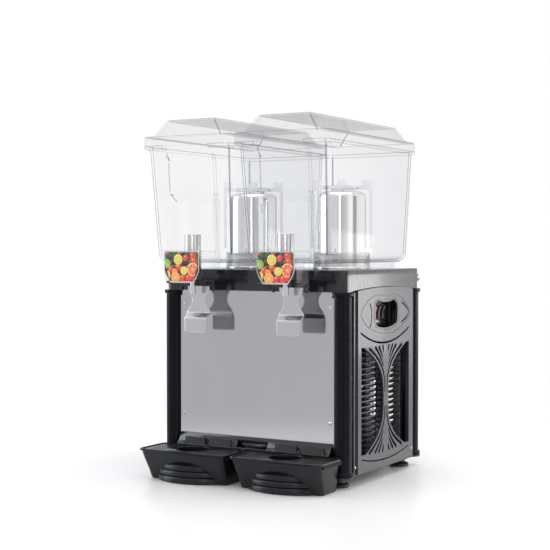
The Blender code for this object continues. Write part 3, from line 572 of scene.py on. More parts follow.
def front_panel():
    (_, y0, z0), (x1, y1, z1) = BOX["front_panel"]
    heads = [screw_head(f"front_screw_{i}", (x, y0 + 0.0001, z), "-Y")
             for i, (x, z) in enumerate((x, z) for z in (0.120, 0.335) for x in (-0.1635, 0.1635))]
    notch, shoulder, upper = x1 - 0.0040, z0 + 0.0110, 0.3520
    outline = [(notch, z0), (notch, shoulder), (x1, shoulder), (x1, upper), (notch, upper), (notch, z1)]
    outline += [(-x, z) for x, z in outline[::-1]]
    stands_for(plate("front_panel_sheet", "Y", y0, y1, [outline], MIRROR, edge=0.0003), "front_panel")
    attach(together("front_panel_screws", heads), "chassis")


def rear_panel():
    """A painted sheet with two banks of hooded louvres and the hole for the cord gland."""
    (x0, y0, z0), (x1, y1, z1) = BOX["rear_panel"]
    outlines = [rectangle(x0, x1, z0, z1)]
    hoods = []
    for left in (-0.120, 0.035):
        for k in range(9):
            z = 0.12 + 0.016 * k
            outlines.append(rectangle(left, left + 0.085, z, z + 0.006))
            root = (y1 - 0.0003, z + 0.0012)
            section = arc(root, 0.0048, 0, 90, 5) + arc(root, 0.0040, 90, 0, 5)
            ends = [[(x, a, b) for a, b in section] for x in (left + 0.001, left + 0.084)]
            hoods.append(stack(f"hood_{left}_{k}", ends, PAINTED))
    outlines.append(arc((-0.120, 0.055), 0.0085, 0, 345, 23))
    sheet = plate("rear_sheet", "Y", y0, y1, outlines, PAINTED, edge=0.0003)
    heads = [screw_head(f"rear_screw_{i}", (x, y1 - 0.0001, z), "Y")
             for i, (x, z) in enumerate((x, z) for x in (-0.158, 0.158) for z in (0.040, 0.210, 0.380))]
    stands_for(together("rear_panel_louvred", [sheet] + hoods + heads), "rear_panel")


ARCH_Y, ARCH_HALF, ARCH_RISE = 0.0405, 0.150, 0.0078


def arch(y):
    """Height of the curved joint between a side panel and the crown."""
    return BOX["crown"][0].z + ARCH_RISE * max(0.0, 1 - ((y - ARCH_Y) / ARCH_HALF) ** 2)


def crown():
    (x0, y0, z0), (x1, y1, z1) = BOX["crown"]

    def ring(inset, radius, z):
        line = rounded_flat(x0 + inset, x1 - inset, y0 + inset, y1 - inset, radius, 8, 24)
        arched = z is None
        return [(x, y, (arch(y) if abs(x) > x1 - 0.006 else z0) if arched else z) for x, y in line]

    edge = 0.0022
    top = [ring(edge * (1 - math.sin(a)), 0.0115 - edge * (1 - math.sin(a)), z1 - edge * (1 - math.cos(a)))
           for a in [math.radians(18 * k) for k in range(6)]]
    outside = top + [ring(0, 0.0115, z1 - 0.012), ring(0, 0.0115, None)]
    inside = [ring(0.0025, 0.0090, None), ring(0.0025, 0.0090, z1 - 0.012), ring(0.0025, 0.0090, z1 - 0.0040)]
    shell = stack("crown_cover", outside + inside, GLOSS_BLACK)
    holes = [turned(f"hole_{side}", [(0, 0.42), (0.009, 0.42), (0.009, 0.38), (0, 0.38)],
                    (*middle(f"evaporator_{side}").xy, 0), GLOSS_BLACK, steps=32) for side in SIDES]
    knob = middle("rear_knob")
    holes.append(turned("knob_hole", [(0, 0.2150), (0.0038, 0.2150), (0.0038, 0.2000), (0, 0.2000)],
                        (knob.x, 0, knob.z), GLOSS_BLACK, "Y", steps=32))
    stands_for(cut(shell, *holes), "crown")


# ---------------------------------------------------------------- side panels
GRILLE_Y, WAIST_Z, WAIST_HALF, FLARE = 0.0415, 0.155, 0.0105, 79.6


def grille_half(z):
    return WAIST_HALF + FLARE * abs(z - WAIST_Z) ** 3


def grille_openings():
    """Outlines, as (y, z), of every opening in the lower part of a side panel."""
    outlines = []
    heights = [0.056 + (0.258 - 0.056) * k / 40 for k in range(41)]
    for sign, limit in ((-1, -0.0660), (1, 0.1495)):
        curve = [(GRILLE_Y + sign * grille_half(z), z) for z in heights]
        inside = [(y, z) for y, z in curve if (y - limit) * sign < -0.002]
        corner = [(limit, inside[0][1])] + inside + [(limit, inside[-1][1])]
        outlines.append(corner)
    for share, upper, lower in ((1.0, 0.167, 0.139), (0.62, 0.218, 0.092), (0.40, 0.234, 0.076),
                                (0.18, 0.245, 0.065)):
        for sign in (-1, 1):
            for first, last in ((upper, 0.2555 - 0.0017 * share), (lower, 0.0530 + 0.0035 * share)):
                steps = [first + (last - first) * k / 12 for k in range(13)]
                line = [(GRILLE_Y + sign * share * (grille_half(z) - 0.0042 - 0.10 * abs(z - WAIST_Z)), z)
                        for z in steps]
                outlines.append(ribbon(line, 0.0032, 0.0066))
    for z in (0.1945, 0.1595, 0.1225):
        outlines.append(ribbon([(GRILLE_Y, z - 0.0008), (GRILLE_Y, z + 0.0008)], 0.0024))
    smile = [(GRILLE_Y + 0.0105 * k, 0.0365 + 1.05 * (0.0105 * k) ** 2) for k in range(-10, 11)]
    outlines.append(ribbon(smile, 0.0024))
    return outlines


def eye_slots():
    """Decorative slots round the switch window."""
    below = [(0.0395 + 0.0108 * k, 0.2620 + 2.05 * (0.0108 * k) ** 2) for k in range(-10, 11)]
    crescent = smooth_line([(-0.0290, 0.3385), (-0.0235, 0.3290), (-0.0220, 0.3170), (-0.0235, 0.3050),
                            (-0.0290, 0.2955)], 4)
    chevron = smooth_line([(0.1155, 0.3370), (0.1380, 0.3270), (0.1475, 0.3170), (0.1380, 0.3070),
                           (0.1130, 0.2980)], 4)
    return [ribbon(below, 0.0034), ribbon(crescent, 0.0032), ribbon(chevron, 0.0030)]


def window_outline(grow=0.0):
    top = [(0.0060, 0.3450), (0.0250, 0.3412), (0.0450, 0.3400), (0.0640, 0.3415), (0.0810, 0.3445)]
    right = [(0.0955, 0.3340), (0.0960, 0.3160), (0.0935, 0.2990)]
    bottom = [(0.0680, 0.2925), (0.0410, 0.2905), (0.0150, 0.2925), (-0.0020, 0.2970)]
    line = top + right + bottom + [(-0.0055, 0.3160), (-0.0040, 0.3380)]
    centre = Vector((0.0440, 0.3180))
    line = [tuple(centre + (Vector(p) - centre) * (1 + grow / max((Vector(p) - centre).length, 0.02)))
            for p in line]
    return fillet(line + [line[0], line[1]], 0.0045, 4)[1:-1]


def groove_lines():
    """Fine moulded lines: the eye round the window, and one round the window itself."""
    eye = smooth_line([
        (-0.0706, 0.3206), (-0.0550, 0.3345), (-0.0330, 0.3475), (0.0090, 0.3560), (0.0438, 0.3513),
        (0.0761, 0.3553), (0.1150, 0.3455), (0.1400, 0.3300), (0.1526, 0.3183), (0.1380, 0.3010),
        (0.0884, 0.2821), (0.0440, 0.2785), (-0.0014, 0.2846), (-0.0420, 0.2970), (-0.0706, 0.3206),
    ], 6)[1:-1]
    rim = window_outline(0.0048)
    return [eye, rim + [rim[0]]]


def beside(line, by):
    """A closed line moved sideways."""
    if math.dist(line[0], line[-1]) < 1e-6:
        line = line[:-1]
    moved = []
    for i in range(len(line)):
        along = heading(line[i - 1], line[(i + 1) % len(line)])
        a, b = line[i]
        moved.append((a + along.y * by, b - along.x * by))
    return moved


def side_panel(side):
    s, node = SIDES[side], f"side_panel_{side}"
    (x0, y0, z0), (x1, y1, _) = BOX[node]
    outer = x1 if s > 0 else x0
    inner, under = outer - s * 0.0040, outer - s * 0.0007
    front, rear = -0.0800, 0.1615
    face = [(front, z0), (rear, z0)]
    face += [(y, arch(y) - 0.0006) for y in [rear + (front - rear) * k / 40 for k in range(41)]]
    holes = grille_openings() + eye_slots() + ([window_outline()] if s > 0 else [])
    grooves = [beside(line, by) for line in groove_lines() for by in (-0.00045, 0.00045)]
    shell = plate(f"{node}_shell", "X", *sorted((under, inner)), [face] + holes, PANEL_BLACK, edge=0.00015)
    skin = plate(f"{node}_face", "X", *sorted((outer, under)), [face] + holes + grooves, PANEL_BLACK, edge=0.0003)
    rims = [rectangle(y0, y1, z0, 0.3622), rectangle(-0.0672, 0.1506, 0.0345, 0.3540)]
    flange = plate(f"{node}_flange", "X", *sorted((s * 0.1965, s * (abs(inner) + 0.0004))), rims, PANEL_BLACK,
                   edge=0.0005)
    heads = [screw_head(f"panel_screw_{i}", (s * 0.20115, y, z), "X" if s > 0 else "-X", 0.0030)
             for i, (y, z) in enumerate(((-0.0849, 0.037), (0.1698, 0.039)))]
    stands_for(together(f"{node}_cover", [shell, skin, flange]), node)
    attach(together(f"{node}_screws", heads), "chassis")


def switches():
    refined("switch_bowl", GLOSS_BLACK, 0.0008, 3)
    for number, skin in enumerate((RED, GLOSS_BLACK, GLOSS_BLACK), 1):
        node = f"rocker_{number}"
        refined(node, skin, 0.0007, 3)
        y = middle(node).y
        rims = [rectangle(y - 0.0074, y + 0.0074, 0.3056, 0.3344),
                rectangle(y - 0.0063, y + 0.0063, 0.3076, 0.3324)]
        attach(plate(f"{node}_bezel", "X", 0.1831, 0.1846, rims, SOFT_BLACK, edge=0.0003), "chassis")


# ---------------------------------------------------------------- cooling unit
def compressor():
    x, y, _ = middle("compressor")
    can = turned("compressor_can", [
        (0, 0.1500), (0.024, 0.1480), (0.043, 0.1390), (0.053, 0.1200), (0.053, 0.0950), (0.056, 0.0940),
        (0.056, 0.0880), (0.053, 0.0870), (0.053, 0.0450), (0.042, 0.0252), (0, 0.0252),
    ], (x, y, 0), PAINTED, radius=0.010)
    foot = boxes("compressor_plate", [(x - 0.062, x + 0.062, y - 0.050, y + 0.050, 0.0225, 0.0262)], PAINTED)
    soften(foot, 0.0008)
    stands_for(together("compressor_hermetic", [can, foot]), "compressor")
def condenser():
    """Two banks of fins on tubes, whose bends show between the banks, with a black sheet at the back of the gap as
    painted shade.
    """
    (x0, y0, z0), (x1, y1, z1) = BOX["condenser"]
    rows, pitch = 24, 0.0105
    banks = ((y0 + 0.0028, 0.0475), (0.1020, y1 - 0.0028))
    levels = [z0 + k * pitch for k in range(rows)]
    parts = [
        boxes("fins", [(x0 + 0.0006, x1 - 0.0010, a, b, z, z + 0.0012) for a, b in banks for z in levels], FIN),
        # The lips take the lighter copy of the fin metal: a painted highlight along the fins' front edges.
        boxes("fin_lips", [(x1 - 0.0014, x1 - 0.0002, a, b, z - 0.0001 * (z > z0), z + 0.0020)
                           for a, b in banks for z in levels], FIN_EDGE_LIT),
        boxes("end_plates", [(x0, x1, a, a + 0.0026, z0, z1) for a in (y0, y1 - 0.0026)], GALVANISED),
        # Painted shade: a black sheet in the gap between the banks, standing in for the shade inside the coil.
        boxes("painted_shade_plate", [(x0 + 0.0010, x0 + 0.0030, 0.0465, 0.1030, z0, z1 - 0.0005)], SOFT_BLACK),
    ]
    for column, y in enumerate((-0.040, -0.005, 0.025, 0.112, 0.140)):
        line = [(x1 - 0.012, y, z0 + 0.004), (x1 - 0.012, y, z1 - 0.004)]
        parts.append(tube(f"riser_{column}", line, 0.0036, FIN, 12))
    for column, (y, reach, first, last) in enumerate(((0.0370, 0.0085, 9, 16), (0.1220, 0.0165, 7, 18))):
        for k in range(first, last):
            z = z0 + k * pitch + 0.0056
            bend = [(x1 - 0.0030 + 0.0060 * math.sin(a), y + reach * math.cos(a), z + 0.0012 * math.cos(a))
                    for a in [math.pi * j / 12 for j in range(13)]]
            parts.append(tube(f"bend_{column}_{k}", bend, 0.0026, TUBE, 12))
    stands_for(together("condenser_coil", parts), "condenser")
def fan():
    fx, (_, fy, fz) = 0.138, middle("fan_blade")
    refined("fan_shroud", GALVANISED, 0.0005)
    refined("fan_motor", PAINTED, 0.0006)
    hub = turned("fan_hub", [(0, 0.0070), (0.0120, 0.0070), (0.0140, 0.0050), (0.0140, -0.0070), (0, -0.0070)],
                 (fx, fy, fz), ALUMINIUM, "X", radius=0.002)
    blades = [hub]
    for k in range(5):
        rings = []
        for step in range(13):
            r = 0.011 + (0.0715 - 0.011) * step / 12
            chord = math.radians(46 + 8 * math.sin(math.pi * step / 12))
            pitch_x = 0.0062 * (1 - 0.25 * step / 12)
            ring = []
            for side_sign in (1, -1):
                for j in range(9):
                    t = (j / 8 - 0.5) * side_sign
                    angle = math.radians(72 * k) + t * chord
                    lift = pitch_x * 2 * t + 0.0012 * math.cos(math.pi * t) + side_sign * 0.0005
                    ring.append((fx + lift, fy + r * math.cos(angle), fz + r * math.sin(angle)))
            rings.append(ring)
        blades.append(stack(f"blade_{k}", rings, ALUMINIUM))
    stands_for(together("fan_wheel", blades), "fan_blade")


# ---------------------------------------------------------------- cold column, drive and stirrer
def cold_column(side):
    """The cold cylinder with its seal, and the drive of the stirrer under it, all on one centre line."""
    line = f"evaporator_{side}"
    low, top = heights(line)
    radius, root = 0.049, 0.0475
    turned_for(line, "cylinder", [
        (0, top), (0.030, top - 0.0006), (0.041, top - 0.0024), (0.0465, top - 0.0056), (radius, top - 0.0105),
        (radius, low + 0.0034), (0.0580, low + 0.0030), (0.0580, low), (root, low), (root, top - 0.0110),
        (0.044, top - 0.0065), (0, top - 0.0030),
    ], COLUMN, steps=96, radius=0.0020)
    low, top = heights(f"tank_seal_{side}")
    ribs = []
    for z in [top - 0.006 - 0.007 * k for k in range(3)]:
        ribs += [(0.0562, z), (0.0556, z - 0.002)]
    seal = [(0.0548, top), (0.0562, top - 0.0020)] + ribs + [(0.0562, low), (0.0494, low), (0.0494, top)]
    turned_for(f"tank_seal_{side}", "ring", seal, SILICONE, line, steps=96, radius=0.0005, ring=True)
    low, top = heights(f"drive_rotor_{side}")
    rotor = [(0, top), (0.028, top), (0.028, top - 0.012), (0.004, top - 0.012), (0.004, low), (0, low)]
    turned_for(f"drive_rotor_{side}", "disc", rotor, GALVANISED, line, radius=0.0008)
    low, top = heights(f"stirrer_motor_{side}")
    motor = [(0, top), (0.034, top), (0.034, top - 0.004), (0.027, top - 0.004), (0.027, low + 0.003), (0.024, low),
             (0, low)]
    turned_for(f"stirrer_motor_{side}", "case", motor, PAINTED, line, radius=0.0008)


def agitator(side):
    node = f"agitator_{side}"
    (_, _, low), (_, _, high) = BOX[node]
    x, y = middle(node).x, middle(node).y
    shelf = 0.5605
    outer, inner, top = 0.0610, 0.0550, 0.5680
    outline = fillet([
        (0, top), (outer, top), (outer, low), (inner, low), (inner, shelf), (-inner, shelf), (-inner, low),
        (-outer, low), (-outer, top), (0, top),
    ], 0.0060, 5)
    band = plate(f"{node}_band", "Y", -0.0050, 0.0050, [outline[:-1]], FROSTED, edge=0.0010, steps=3)
    hub = turned(f"{node}_hub", [
        (0, high), (0.0060, high - 0.0008), (0.0088, high - 0.0050), (0.0090, high - 0.0135),
        (0.0300, 0.5662), (0.0300, 0.5605), (0.0060, 0.5605), (0.0060, 0.5578), (0, 0.5578),
    ], (0, 0, 0), FROSTED, radius=0.0010)
    ends = boxes(f"{node}_ends", [(sign * 0.051 - 0.0095, sign * 0.051 + 0.0095, -0.0040, 0.0040, 0.5660, 0.5790)
                                  for sign in (-1, 1)], FROSTED)
    soften(ends, 0.0012, 3)
    join(band, hub)
    join(band, ends)
    turn = Matrix.Rotation(math.radians(30.0), 4, "Z")
    band.data.transform(Matrix.Translation((x, y, 0)) @ turn)
    stands_for(band, node)


# ---------------------------------------------------------------- tanks and lids
WALL = 0.0035


def tank_ring(x, z, half, y0, y1, radius, recess_half, recess_y):
    """The tank's outline at one height: a round-cornered rectangle with the tap's recess in its front."""
    depth = max(recess_y - y0, 0.0004)
    bend = min(0.0070, depth * 0.48)
    line = arc((x + half - radius, y1 - radius), radius, 0, 90, 8)
    line += arc((x - half + radius, y1 - radius), radius, 90, 180, 8)
    line += arc((x - half + radius, y0 + radius), radius, 180, 270, 8)
    line += arc((x - recess_half - bend, y0 + bend), bend, -90, 0, 5)
    line += arc((x - recess_half + bend, y0 + depth - bend), bend, 180, 90, 5)
    line += arc((x + recess_half - bend, y0 + depth - bend), bend, 90, 0, 5)
    line += arc((x + recess_half + bend, y0 + bend), bend, 180, 270, 5)
    line += arc((x + half - radius, y0 + radius), radius, 270, 360, 8)
    return [(a, b, z) for a, b in line]


def circle_ring(like, centre, radius, z):
    """A circle with one point for each point of the outline, kept in order round the centre."""
    angles = [math.atan2(b - centre[1], a - centre[0]) for a, b, _ in like]
    ordered = [angles[0]]
    for angle in angles[1:]:
        while angle < ordered[-1] - math.pi:
            angle += 2 * math.pi
        ordered.append(max(angle, ordered[-1] + 0.002))
    return [(centre[0] + radius * math.cos(a), centre[1] + radius * math.sin(a), z) for a in ordered]


def body_section(z):
    """Half width, front and rear of the tank's outside at a height."""
    share = (z - 0.435) / (0.634 - 0.435)
    return 0.0885 + 0.007 * share, -0.1685 - 0.0185 * share, 0.178 + 0.011 * share


def recess_section(z):
    """Half width and rear wall of the recess at a height, from steps of (height, half width, rear wall)."""
    steps = ((0.400, 0.046, -0.1515), (0.530, 0.046, -0.1515), (0.549, 0.052, -0.1715), (0.612, 0.052, -0.1765),
             (0.628, 0.050, -0.1865))
    for (z0, h0, y0), (z1, h1, y1) in zip(steps, steps[1:]):
        if z <= z1:
            t = (z - z0) / (z1 - z0)
            return h0 + (h1 - h0) * t, y0 + (y1 - y0) * t
    return steps[-1][1], steps[-1][2]


def strip_width(obj, face):
    """The width of a long narrow face."""
    points = [obj.data.vertices[i].co for i in face.vertices]
    return face.area / max((p - q).length for p, q in zip(points, points[1:] + points[:1]))


def on_corner(obj, face):
    """True in one narrow strip down the middle of each upright corner."""
    turn = math.degrees(math.atan2(abs(face.normal.y), abs(face.normal.x)))
    return abs(face.normal.z) < 0.9 and 45 < turn < 52 and strip_width(obj, face) < 0.0032


def paint_bend_shade(obj, is_bend):
    """Tight bends in clear plastic gather dark from all round, so they show as lines: painted shade, a darker clear
    tint given to the bend faces.
    """
    obj.data.materials.append(CLEAR_BEND_SHADE)
    for face in obj.data.polygons:
        if is_bend(face):
            face.material_index = 1
    return obj


def tank_vessel(side):
    node = f"tank_{side}"
    (x0, y0, low), (x1, y1, top) = BOX[node]
    x = (x0 + x1) / 2
    column = (x, middle(f"evaporator_{side}").y)

    def wall(z, inset, droop=0.0):
        half, y0, y1 = body_section(max(z, 0.435))
        recess_half, recess_y = recess_section(z)
        pull = inset + droop
        return tank_ring(x, z, half - pull, y0 + pull, y1 - pull, 0.016 - inset * 0.5,
                         recess_half + inset, recess_y + inset)

    def skirt(z, inset):
        return tank_ring(x, z, 0.078 - inset, -0.1600 + inset, 0.145 - inset, 0.014, 0.046 + inset,
                         -0.1515 + inset)

    bend = 0.0160
    floor = 0.4165
    curve = [(floor + bend * (1 - math.cos(a)), bend * (1 - math.sin(a)))
             for a in [math.radians(15 * k) for k in range(7)]]
    outside = [skirt(low, 0), skirt(floor, 0)]
    outside += [wall(z, 0, droop) for z, droop in curve[1:]]
    outside += [wall(z, 0) for z in (0.470, 0.510, 0.526, 0.530, 0.534, 0.545, 0.549, 0.553, 0.580, 0.608,
                                     0.612, 0.616, 0.624, 0.628, 0.6315)]
    widest = (x1 - x0) / 2
    for z, less in ((0.6340, 0.0030), (0.6346, 0.0008), (0.6352, 0.0), (0.6392, 0.0), (0.6400, 0.0008)):
        outside.append(tank_ring(x, z, widest - less, y0 + less, y1 - less, 0.0165, 0.050, y0 + 0.0110))
    lip = [wall(top, 0.0020), wall(top - 0.0010, WALL)]
    inside = [wall(z, WALL) for z in (0.630, 0.624, 0.616, 0.612, 0.608, 0.580, 0.553, 0.549, 0.545, 0.534,
                                      0.530, 0.526, 0.510, 0.470)]
    inside += [wall(z + 0.0035, WALL, droop) for z, droop in curve[::-1]]
    base = inside[-1]
    level = base[0][2]
    collar = [circle_ring(base, column, r, z) for r, z in (
        (0.0625, level), (0.0606, level + 0.0010), (0.0602, 0.4310), (0.0597, 0.4320), (0.0573, 0.4320),
        (0.0568, 0.4312), (0.0568, floor),
    )]
    under = [skirt(floor, 0.003), skirt(low, 0.003)]
    tank = stack(f"{node}_vessel", outside + lip + inside + collar + under, CLEAR, closed=True)
    # The corner strips, the floor's bend and the narrow sloping steps get the painted bend shade.
    paint_bend_shade(tank, lambda face: (
        (face.center.z > 0.4335 and on_corner(tank, face)) or 0.4170 < face.center.z < 0.4184
        or (abs(face.normal.z) > 0.3 and strip_width(tank, face) < 0.0013)))
    stands_for(tank, node)


def lid_moulding(side):
    node = f"lid_{side}"
    (x0, y0, low), (x1, y1, high) = BOX[node]
    x = (x0 + x1) / 2
    half = (x1 - x0) / 2
    # Each step's height, half width, front, rear and corner radius.
    dome = [(0.6576, 0.0822, -0.1945, 0.1962, 0.0130), (0.6584, 0.0810, -0.1936, 0.1960, 0.0130),
            (0.6720, 0.0706, -0.1877, 0.1941, 0.0125), (0.6862, 0.0598, -0.1813, 0.1918, 0.0120),
            (0.6882, 0.0580, -0.1799, 0.1905, 0.0115), (0.6894, 0.0560, -0.1783, 0.1889, 0.0110),
            (0.6899, 0.0538, -0.1763, 0.1869, 0.0105), (high, 0.0500, -0.1725, 0.1831, 0.0100)]
    skirt = [(low, 0.0), (0.6480, 0.0), (0.6550, 0.0), (0.6566, 0.0005), (0.6575, 0.0016)]

    def edge(z, inset):
        return rounded(z, x - half + inset, x + half - inset, y0 + inset, y1 - inset, 0.016 - inset * 0.5)

    def rise(z, h, a, b, radius, inset):
        return rounded(z - inset, x - h + inset, x + h - inset, a + inset, b - inset, radius)

    outer = [edge(z, inset) for z, inset in skirt]
    outer += [rounded(0.6575, x - 0.0845, x + 0.0845, -0.1960, 0.1968, 0.0140)]
    outer += [rise(*step, 0.0) for step in dome]
    wall = 0.0025
    rings = outer[::-1] + [edge(low, wall), edge(0.6540, wall), edge(0.6575 - wall, wall + 0.0010)]
    rings += [rise(*step, wall) for step in dome]
    lid = stack(f"{node}_moulding", rings, CLEAR_LID)
    # The crease bands and the corner strips get the painted bend shade.
    paint_bend_shade(lid, lambda face: (
        0.6880 < face.center.z < 0.6893 or 0.6567 < face.center.z < 0.6576
        or (face.center.z > 0.6585 and on_corner(lid, face))))
    stands_for(lid, node)


# ---------------------------------------------------------------- taps
def label_outline(centre, half, bottom_half, low, shoulder, high, radius):
    """Upright plate with round upper corners and sides drawn in towards the bottom."""
    right = arc((centre + half - radius, high - radius), radius, 90, 0, 6)
    lean, drop = half - bottom_half, shoulder - low
    right += [(centre + half, shoulder), (centre + half - lean * 0.12, shoulder - drop * 0.22),
              (centre + half - lean * 0.42, shoulder - drop * 0.52)]
    right += arc((centre + bottom_half - radius * 0.6, low + radius * 0.6), radius * 0.6, -10, -90, 4)
    return right + [(2 * centre - x, z) for x, z in right[::-1]]


def within(line, edge):
    """The part of a flat outline inside a convex edge that runs anticlockwise; empty if next to nothing is left."""
    for (ax, az), (bx, bz) in zip(edge, edge[1:] + edge[:1]):
        def side(point):
            return (bx - ax) * (point[1] - az) - (bz - az) * (point[0] - ax)

        kept = []
        for p, q in zip(line, line[1:] + line[:1]):
            sp, sq = side(p), side(q)
            if sp >= 0:
                kept.append(p)
            if (sp >= 0) != (sq >= 0):
                t = sp / (sp - sq)
                kept.append((p[0] + (q[0] - p[0]) * t, p[1] + (q[1] - p[1]) * t))
        line = kept
        if len(line) < 3:
            return []
    area = sum(p[0] * q[1] - q[0] * p[1] for p, q in zip(line, line[1:] + line[:1])) / 2
    return line if abs(area) > 4e-7 else []


FRUIT = {
    kind: finish_of(f"fruit_{kind}", colour, 0.28, tint=tint, scale=700, coat=0.3)
    for kind, colour, tint in (
        ("berry", (0.030, 0.010, 0.030), 0.5), ("berry_light", (0.070, 0.035, 0.090), 0.4),
        ("cherry", (0.30, 0.012, 0.025), 0.4), ("strawberry", (0.83, 0.070, 0.050), 0.22),
        ("grapefruit", (0.86, 0.100, 0.035), 0.18), ("grapefruit_peel", (0.92, 0.36, 0.07), 0.10),
        ("orange", (0.90, 0.32, 0.020), 0.16), ("orange_peel", (0.90, 0.24, 0.015), 0.10),
        ("lemon", (0.66, 0.64, 0.040), 0.12), ("lemon_peel", (0.82, 0.72, 0.09), 0.10),
        ("lime", (0.22, 0.52, 0.030), 0.25), ("lime_peel", (0.10, 0.36, 0.02), 0.20),
        ("pith", (0.93, 0.72, 0.36), 0.05), ("leaf", (0.045, 0.16, 0.025), 0.4),
        ("highlight", (0.95, 0.45, 0.40), 0.05),
    )
}


def fruit_picture(side, x, face):
    """A generic fruit picture as thin coloured layers on the plate's face, cut off at its frame."""
    draw = random.Random(7)
    edge = label_outline(x, 0.0376, 0.0268, 0.3822, 0.4040, 0.4368, 0.004)[::-1]
    parts = [plate("picture_ground", "Y", face, face + 0.0004, [edge], FRUIT["berry"], edge=0.00005, steps=1)]

    def layer(name, line, y, kind):
        line = within(line, edge)
        if line:
            parts.append(plate(name, "Y", y, face + 0.0002, [line], FRUIT[kind], edge=0.00002, steps=1))

    def spot(name, kind, u, w, radius, y, squeeze=1.0, turn=0.0, count=24):
        circle = [(radius * math.cos(t), radius * squeeze * math.sin(t))
                  for t in [2 * math.pi * k / count for k in range(count)]]
        layer(name, [(x + u + a * math.cos(turn) - b * math.sin(turn), w + a * math.sin(turn) + b * math.cos(turn))
                     for a, b in circle], y, kind)

    for row in range(7):
        for column in range(10):
            u = -0.0370 + 0.0082 * column + draw.uniform(-0.0018, 0.0018)
            w = 0.3840 + 0.0086 * row + draw.uniform(-0.0016, 0.0016)
            kind = draw.choice(("berry", "berry_light", "berry_light", "cherry", "leaf"))
            spot(f"berry_{row}_{column}", kind, u, w, draw.uniform(0.0036, 0.0048),
                 face - 0.00006 - 0.00004 * draw.random(), draw.uniform(0.8, 1.0), draw.uniform(0, 3), 16)
    fruits = (
        ("leaf", -0.0285, 0.4330, 0.0050), ("leaf", -0.0165, 0.4325, 0.0052), ("leaf", 0.0335, 0.4290, 0.0060),
        ("leaf", 0.0345, 0.4190, 0.0050), ("leaf", 0.0130, 0.4345, 0.0040), ("leaf", -0.0350, 0.4235, 0.0060),
        ("lime", -0.0330, 0.4150, 0.0088), ("strawberry", -0.0350, 0.4345, 0.0042),
        ("strawberry", -0.0056, 0.4350, 0.0042), ("strawberry", 0.0090, 0.4262, 0.0062),
        ("strawberry", 0.0250, 0.4300, 0.0075), ("strawberry", 0.0275, 0.4200, 0.0068),
        ("orange_peel", -0.0085, 0.4100, 0.0052), ("strawberry", -0.0056, 0.4082, 0.0060),
        ("strawberry", -0.0240, 0.4040, 0.0066), ("strawberry", -0.0270, 0.4010, 0.0050),
        ("orange", -0.0150, 0.3990, 0.0070), ("berry_light", -0.0046, 0.3992, 0.0044),
        ("strawberry", 0.0030, 0.3880, 0.0072), ("cherry", 0.0110, 0.3870, 0.0050),
        ("strawberry", 0.0160, 0.3885, 0.0072), ("strawberry", 0.0240, 0.3900, 0.0060),
    )
    for i, (kind, u, w, radius) in enumerate(fruits):
        spot(f"fruit_{i}", kind, u, w, radius, face - 0.00012 - 0.000004 * i, 0.92, 0.5 * i)
        if kind == "strawberry":
            spot(f"shine_{i}", "highlight", u - radius * 0.25, w + radius * 0.35, radius * 0.28,
                 face - 0.00022, 0.6, 0.5, 12)
    slices = (
        ("lime", -0.0345, 0.4120, 0.0062), ("lemon", -0.0335, 0.3930, 0.0085), ("orange", -0.0135, 0.3895, 0.0100),
        ("lemon", 0.0058, 0.4022, 0.0080), ("lemon", -0.0073, 0.4231, 0.0098),
        ("grapefruit", 0.0256, 0.4045, 0.0128),
    )
    for i, (kind, u, w, radius) in enumerate(slices):
        y = face - 0.00024 - 0.00003 * i
        spot(f"peel_{i}", f"{kind}_peel", u, w, radius, y, count=40)
        spot(f"pith_{i}", "pith", u, w, radius * 0.90, y - 0.00001, count=40)
        for k in range(9):
            centre_angle = 0.4 * i + 2 * math.pi * k / 9
            line = [(x + u + radius * 0.08 * math.cos(centre_angle), w + radius * 0.08 * math.sin(centre_angle))]
            for j in range(6):
                angle = centre_angle + math.pi / 9 * 0.90 * (2 * j / 5 - 1)
                reach = radius * (0.84 - 0.04 * abs(j - 2.5) / 2.5)
                line.append((x + u + reach * math.cos(angle), w + reach * math.sin(angle)))
            layer(f"wedge_{i}_{k}", line, y - 0.00002, kind)
    return together(f"fruit_picture_{side}", parts)


